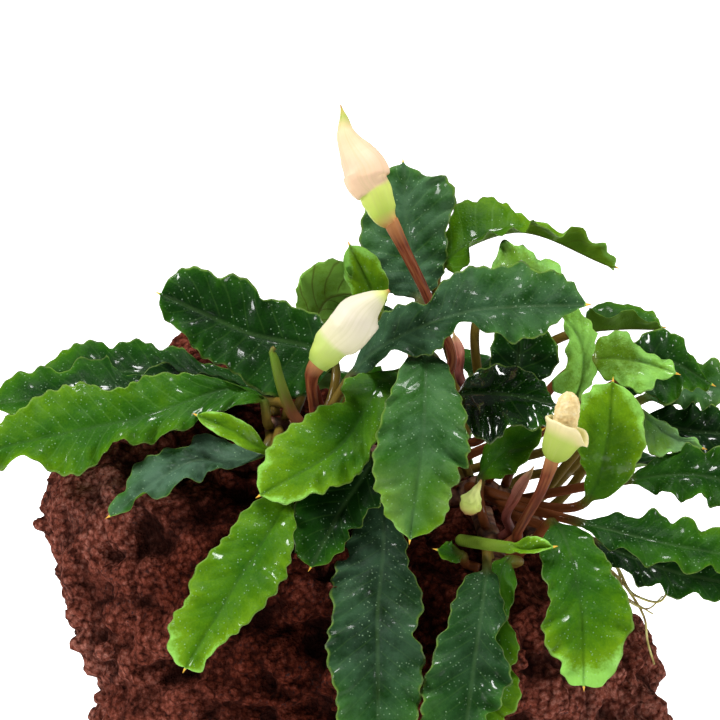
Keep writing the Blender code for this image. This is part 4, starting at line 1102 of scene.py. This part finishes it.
# The bare leaf stalk
# A thick leaf stalk at the left that has lost its blade: green above, red-brown at the foot, with a
# withered hook at its blunt top.
BARE_FOOT = "rhizome", 6, 60
BARE_PLACES = [(-13.2, -11, 6), (-15.9, -4.3, 7), (-17.1, 0.6, 7.8), (-17.5, 1.9, 8), (-16.9, 2.5, 8)]
BARE_RADII = [1.2, 1.25, 1.2, 1.15, 1.1, 1.0, 0.9, 0.45]


def bare_skin():
    finish = Finish("bare_stalk", specular_ior_level=0.15)
    share = finish.part("rod", "X")
    streaks = finish.streaks(0.5, 6)
    colour = finish.ramp(
        share + 0.25 * (streaks - 0.5), (0.0, (0.10, 0.020, 0.010)), (0.30, (0.13, 0.045, 0.014)),
        (0.50, (0.10, 0.12, 0.012)), (0.90, (0.11, 0.20, 0.016)), (1.0, (0.16, 0.08, 0.03)),
    )
    finish.bump(streaks, 0.15, 0.5)
    return finish.finished(base_color=colour, roughness=0.38 + 0.2 * streaks)


bare = rod(
    grown(*BARE_FOOT, BARE_PLACES), lambda share, turn: read_evenly(BARE_RADII, share), around=20,
    start=facing(0, 0, 1),
)
shown("leaf_left_rolled_stalk", bare, bare_skin(), "leaf_left_rolled")


# The closed flowers
# A bulb of thick tissue with a thin cream hood over it, one sheet rolled up so that its edges
# overlap in a seam, and drawn out to a beak. The hood stands out over the bulb in a soft lip.

# What is said of each closed flower
# lip, slant: how far along the lip stands, and how it slants, as shares of the length
# bulb, hood: the radii from the foot to the lip, and on to the beak; seam: its place in radians
Spathe = namedtuple("Spathe", "name places lip slant bulb hood seam")
SPATHES = [
    Spathe(
        "flower_tall_spathe",
        [(6.4, 27.3, -4), (5.1, 28.8, -4), (3.8, 32, -4), (3.1, 33.8, -4), (1.9, 35.5, -4.2),
         (1.1, 38, -4.5), (-0.6, 40.9, -5), (-2.9, 45.7, -5.6), (-3.2, 48.3, -5.8), (-3.9, 51.3, -6)],
        0.29, 0.02, [1.5, 2.2, 2.8, 3.1, 3.3, 3.35],
        [3.45, 4.1, 4.7, 4.65, 4.2, 3.6, 2.9, 2.4, 2.0, 1.4, 0.9, 0.4, 0.1], -0.6,
    ),
    Spathe(
        "flower_low_spathe",
        [(-8.4, -0.9, 13.5), (-4.6, 3.8, 14.6), (-2.2, 5.9, 15.3), (0.4, 9.8, 16), (5.8, 13.8, 16)],
        0.24, 0.05, [2.2, 2.9, 3.3, 3.5],
        [3.6, 3.85, 4.2, 4.55, 4.65, 4.5, 4.1, 3.4, 2.6, 1.8, 0.9, 0.25], 1.3,
    ),
]
SEAM_OVERLAP = 0.18
LIP_RISE = 0.06            # share of the flower's length over which the hood stands out from the bulb


def spathe_radius(spathe):
    """The radius of a closed flower: its bulb, then its hood, with the hood's seam and wrinkles."""
    def radius(share, turn):
        lip = spathe.lip + spathe.slant * math.cos(turn - math.pi / 2)
        below = read_evenly(spathe.bulb, share / lip)
        above = read_evenly(spathe.hood, (share - lip) / (1 - lip))
        over = held((share - lip) / LIP_RISE + 0.5)
        rolled = ((turn - spathe.seam) / math.tau) % 1.0
        wrinkle = 0.05 * noise.noise(Vector((share * 60, math.cos(turn) * 1.5, math.sin(turn) * 1.5)))
        swell = 0.10 * noise.noise(Vector((share * 7, math.cos(turn) * 1.2, math.sin(turn) * 1.2 + 5)))
        full = below + (above - below) * over
        seam = SEAM_OVERLAP * rolled * over * min(1, full)
        return full * (1 + swell * min(1.0, 4 * (1 - share))) + seam + wrinkle
    return radius


def spathe_skin(name, *stops):
    """Cream or pale green tissue with fine lengthwise nerves. The stops are colours along the flower."""
    finish = Finish(name, specular_ior_level=0.15)
    share = finish.part("rod", "X")
    nerves = finish.streaks(0.12, 20)
    wander = 0.02 * (finish.noise(2.5, 2) - 0.5)
    colour = finish.ramp(share + wander, *stops)
    colour = finish.mix(nerves.above(0.50, 0.75) * 0.25, colour, (0.42, 0.40, 0.16))
    finish.bump(nerves, 0.12, 0.35)
    return finish.finished(base_color=colour, roughness=0.42 + 0.1 * nerves)


spathe_skins = {
    "flower_tall_spathe": spathe_skin(
        "spathe_tall", (0.0, (0.50, 0.20, 0.07)), (0.04, (0.50, 0.38, 0.10)), (0.11, (0.42, 0.54, 0.08)),
        (0.28, (0.54, 0.62, 0.13)), (0.30, (0.74, 0.52, 0.32)), (0.50, (0.76, 0.50, 0.34)),
        (0.80, (0.72, 0.54, 0.32)), (0.91, (0.38, 0.44, 0.10)), (0.96, (0.50, 0.42, 0.09)),
        (1.0, (0.42, 0.15, 0.04)),
    ),
    "flower_low_spathe": spathe_skin(
        "spathe_low", (0.0, (0.28, 0.38, 0.07)), (0.10, (0.38, 0.48, 0.09)), (0.24, (0.46, 0.55, 0.16)),
        (0.30, (0.62, 0.58, 0.36)), (0.60, (0.66, 0.60, 0.47)), (0.84, (0.62, 0.58, 0.40)),
        (0.93, (0.55, 0.62, 0.16)), (0.97, (0.42, 0.36, 0.07)), (1.0, (0.38, 0.10, 0.04)),
    ),
}
for spathe in SPATHES:
    route = Route([at(*place) for place in spathe.places])
    sides, step = ((64, 0.3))
    flower = rod(route, spathe_radius(spathe), around=sides, spacing=step, start=facing(0, 0, 1))
    shown(spathe.name + "_hood", flower, spathe_skins[spathe.name], spathe.name)


# The open flower
# The hood has dropped and left a pale green cup with a thick cream rim, torn and folded out at one
# side, around a blunt spadix that is packed with small round florets.
CUP_FOOT, CUP_MOUTH = (37.8, -19.8, 18), (40.9, -12.8, 19)
CUP_OUTSIDE = [(0, 1.3), (0.4, 1.8), (1.2, 2.5), (2.2, 2.95), (3.6, 3.25), (5.2, 3.45), (6.4, 3.8),
               (6.95, 4.2)]
CUP_RIM = [(7.3, 4.45), (7.65, 4.45), (7.85, 4.2), (7.75, 3.9)]
CUP_INSIDE = [(7.35, 3.65), (6.6, 3.4), (5.5, 3.1), (3.6, 2.75), (1.9, 2.1), (1.2, 1.0), (1.0, 0)]
CUP_THROAT, CUP_HEIGHT = 3.2, 7.6          # the cup's wall is even up to the throat
FLAP_BEARING, FLAP_WIDTH, FLAP_DROP, FLAP_PUSH = -0.35, 0.45, 2.2, 0.7
SPADIX_PLACES = [(38.6, -18.2, 18.2), (40.2, -13.2, 19), (41.3, -6.2, 19.6)]
SPADIX_RADII = [1.0, 1.6, 2.1, 2.35, 2.45, 2.4, 2.1, 1.3]
SPADIX_ROUNDING = 0.14     # share of the spadix's length that its round top takes
FLORET_SIZE, FLORET_HEIGHT = 0.74, 0.22
FLORET_SHIFT = Vector((4, 2, 8))


def turned(section, foot, mouth, steps, reshape):
    """A round wall from its section, given as (up, radius) from the axis out and back to the axis.
    It stands on the line from foot to mouth. reshape moves one of its places, with +X to the right."""
    bm = bmesh.new()
    rod_layer = bm.verts.layers.float_vector.new("rod")
    turn_layer = bm.verts.layers.float_vector.new("turn")
    total = sum(math.dist(a, b) for a, b in zip(section, section[1:]))
    gone, verts = 0.0, []
    for i, (up, radius) in enumerate(section):
        gone += math.dist(section[i - 1], section[i]) if i else 0.0
        verts.append(bm.verts.new((radius, 0, up)))
        verts[-1][rod_layer] = (gone / total, up, 0)
    for before, after in zip(verts, verts[1:]):
        bm.edges.new((before, after))
    bmesh.ops.spin(
        bm, geom=bm.verts[:] + bm.edges[:], cent=(0, 0, 0), axis=(0, 0, 1), angle=math.tau, steps=steps,
        use_merge=True,
    )
    bmesh.ops.remove_doubles(bm, verts=bm.verts[:], dist=0.01)
    axis = (mouth - foot).normalized()
    right = facing(1, 0, 0)
    right = (right - axis * right.dot(axis)).normalized()
    stand = Matrix((right, axis.cross(right), axis)).transposed()
    for vert in bm.verts:
        bearing = math.atan2(vert.co.y, vert.co.x)
        vert[turn_layer] = (math.cos(bearing), math.sin(bearing), 0)
        vert.co = foot + stand @ reshape(vert.co.copy(), bearing) * MM
    bmesh.ops.recalc_face_normals(bm, faces=bm.faces[:])
    return bm


def torn_cup(place, bearing):
    """The cup's rim waves, and at the right it is folded out and hangs."""
    rise = max(0.0, place.z - CUP_THROAT) / (CUP_HEIGHT - CUP_THROAT)
    flap = math.exp(-((bearing - FLAP_BEARING) / FLAP_WIDTH) ** 2)
    wave = 0.5 * noise.noise(Vector((math.cos(bearing) * 1.6, math.sin(bearing) * 1.6, 3))) * rise
    place.z += wave - flap * rise**2 * FLAP_DROP
    place.x += flap * rise * FLAP_PUSH
    squash = 1 + 0.06 * math.cos(2 * bearing)
    return Vector((place.x * squash, place.y / squash, place.z))


def florets(bm):
    """Raises a small round floret in each cell of the spadix's skin."""
    bm.normal_update()
    moves = []
    for vert in bm.verts:
        near, far = noise.voronoi(vert.co / MM / FLORET_SIZE + FLORET_SHIFT)[0][:2]
        rise = FLORET_HEIGHT * (min(1.0, 2.2 * (far - near)) ** 0.7 - 0.35)
        moves.append(vert.normal * rise * MM)
    for vert, move in zip(bm.verts, moves):
        vert.co += move
    return bm


def spadix_radius(share, turn):
    past = max(0.0, share - 1 + SPADIX_ROUNDING) / SPADIX_ROUNDING
    return max(0.05, read_evenly(SPADIX_RADII, share) * math.sqrt(max(0.0, 1 - past**2)))


def spadix_skin():
    finish = Finish("spadix", specular_ior_level=0.2)
    floret_gap_shade = finish.cells(FLORET_SIZE).above(0.45, 0.8)
    grain = finish.noise(1.4, 4, 0.6)
    colour = finish.ramp(
        grain, (0.3, (0.62, 0.42, 0.17)), (0.5, (0.74, 0.58, 0.28)), (0.7, (0.80, 0.70, 0.44)),
    )
    # painted shade: darker in the gaps between the florets
    colour = finish.mix(floret_gap_shade * 0.35, colour, (0.55, 0.36, 0.14))
    return finish.finished(base_color=colour, roughness=0.7 + 0.1 * grain)


cup_skin = spathe_skin(
    "spathe_cup", (0.0, (0.22, 0.22, 0.05)), (0.12, (0.28, 0.37, 0.05)), (0.34, (0.37, 0.46, 0.085)),
    (0.44, (0.64, 0.56, 0.26)), (0.52, (0.74, 0.64, 0.36)), (0.58, (0.56, 0.50, 0.17)),
    (1.0, (0.32, 0.36, 0.08)),
)
cup_steps = 56
cup_section = [(0, 0)] + CUP_OUTSIDE + CUP_RIM + CUP_INSIDE
cup = turned(cup_section, at(*CUP_FOOT), at(*CUP_MOUTH), cup_steps, torn_cup)
shown("open_cup", cup, cup_skin, "flower_open_spathe")
spadix_route = Route([at(*place) for place in SPADIX_PLACES])
sides, step = ((72, 0.18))
spadix = florets(rod(spadix_route, spadix_radius, around=sides, spacing=step, start=facing(0, 0, 1)))
shown("open_spadix", spadix, spadix_skin(), "flower_open_spadix")


# The flower bud
# A young flower, still green and no longer than a fingernail, with a hooked beak. Its hood is shut
# all round, and it sits low among the leaf stalks.
BUD_PLACES = [(21.4, -30, 14), (22.0, -28, 14.8), (22.7, -26.2, 15.6), (23.5, -24.6, 16.2),
              (23.9, -23.6, 16.2)]
BUD_RADII = [1.6, 2.0, 2.1, 1.9, 1.5, 1.0, 0.65, 0.4, 0.15]


def bud_radius(share, turn):
    lumps = noise.noise(Vector((share * 7, math.cos(turn) * 2, math.sin(turn) * 2)))
    return read_evenly(BUD_RADII, share) * (1 + 0.30 * lumps)


bud_skin = spathe_skin(
    "bud", (0.0, (0.25, 0.10, 0.04)), (0.12, (0.42, 0.42, 0.10)), (0.30, (0.50, 0.60, 0.14)),
    (0.70, (0.62, 0.68, 0.24)), (0.88, (0.55, 0.52, 0.16)), (1.0, (0.40, 0.14, 0.05)),
)
bud_route = Route([at(*place) for place in BUD_PLACES])
bud = rod(bud_route, bud_radius, around=32, spacing=0.25, start=facing(0, 0, 1))
shown("bud_hood", bud, bud_skin, "flower_bud")


# The roots
# Olive-brown threads off the low end of the rhizome, in two tufts. Some hang free of the stone, and
# each thins towards its end.
ROOT_START = 2             # the threads leave the stem square to its bark for this far
ROOTS = [                  # name, distance along the rhizome, degrees round it, and for each thread its
                           # places and its radii at the foot and at the end
    ("root_long", 66, 130, [
        ([(50, -42, -4), (54, -46.5, 0), (57, -52, 0), (57.5, -56, -1), (59, -61, -3)], 0.42, 0.2),
        ([(50, -42, -4), (53, -47.2, 0), (56, -49.2, 0.6), (58.6, -50.8, 0.5)], 0.34, 0.16),
    ]),
    ("root_short", 68, 110, [
        ([(51, -41, -2), (55, -47, 3), (60, -48, 4), (61.5, -45, 3), (57, -44, 2)], 0.42, 0.2),
        ([(51, -41, -2), (54, -48.4, 2.6), (57.4, -49.6, 3.4), (60.4, -47.0, 3.6)], 0.32, 0.16),
    ]),
]


def root_skin():
    finish = Finish("root", specular_ior_level=0.12)
    mottle = finish.noise(2.2, 3)
    colour = finish.ramp(
        mottle, (0.3, (0.14, 0.080, 0.030)), (0.5, (0.38, 0.32, 0.10)), (0.7, (0.60, 0.56, 0.24)),
    )
    return finish.finished(base_color=colour, roughness=0.55 + 0.2 * mottle)


root_finish = root_skin()
for name, distance, around, threads in ROOTS:
    tuft = bmesh.new()
    for places, thick, thin in threads:
        route = grown("rhizome", distance, around, places, ROOT_START)
        thread = rod(route, lambda share, turn: thick + (thin - thick) * share, around=8, spacing=0.5)
        loose = bpy.data.meshes.new("thread")
        thread.to_mesh(loose)
        thread.free()
        tuft.from_mesh(loose)
        bpy.data.meshes.remove(loose)
    shown(name + "_threads", tuft, root_finish, name)


# The stage
# A plain white floor in a white room, lit softly from above and a little from the left, and seen
# from the front and slightly above.
CAMERA_HEIGHT = math.radians(15)
CAMERA_DISTANCE = 1.2
ROOM_BRIGHTNESS, FLOOR_BRIGHTNESS = 0.12, 0.75
LIGHT_AIM = Vector((0, 0, 0.07))
LIGHTS = [                 # name, place in metres, size and power
    ("light_left", (-0.75, -0.30, 0.65), 0.25, 8.0),
    ("light_right", (0.80, -0.20, 0.45), 0.25, 3.5),
    ("light_top", (0.05, 0.10, 1.1), 0.30, 11.0),
]

floor_mesh = bmesh.new()
bmesh.ops.create_grid(floor_mesh, x_segments=1, y_segments=1, size=30)
floor_data = bpy.data.meshes.new("floor")
floor_mesh.to_mesh(floor_data)
floor_mesh.free()
floor = bpy.data.objects.new("floor", floor_data)
bpy.context.scene.collection.objects.link(floor)
floor_data.materials.append(Finish(
    "white_floor", base_color=(0.9, 0.9, 0.9, 1), roughness=0.7, emission_color=(1, 1, 1, 1),
    emission_strength=FLOOR_BRIGHTNESS,
).material)

room = bpy.data.worlds.new("white_room")
room.use_nodes = True
room.node_tree.nodes["Background"].inputs["Color"].default_value = (1, 1, 1, 1)
room.node_tree.nodes["Background"].inputs["Strength"].default_value = ROOM_BRIGHTNESS
bpy.context.scene.world = room
for name, place, size, power in LIGHTS:
    lamp = bpy.data.lights.new(name, "AREA")
    lamp.size = size
    lamp.energy = power
    stand = bpy.data.objects.new(name, lamp)
    stand.location = place
    stand.rotation_mode = "QUATERNION"
    stand.rotation_quaternion = (Vector(place) - LIGHT_AIM).to_track_quat("Z", "Y")
    bpy.context.scene.collection.objects.link(stand)

camera = bpy.data.objects.new("camera", bpy.data.cameras.new("camera"))
camera.data.sensor_width = 36
camera.data.lens = 300
camera.data.clip_start, camera.data.clip_end = 0.05, 100
aim = Vector((0, 0, SET_OUT_HEIGHT * MM))
back_off = Vector((0, -math.cos(CAMERA_HEIGHT), math.sin(CAMERA_HEIGHT)))
camera.location = aim + back_off * CAMERA_DISTANCE
camera.rotation_mode = "QUATERNION"
camera.rotation_quaternion = back_off.to_track_quat("Z", "Y")
bpy.context.scene.collection.objects.link(camera)
bpy.context.scene.camera = camera
bpy.context.scene.view_settings.view_transform = "Standard"
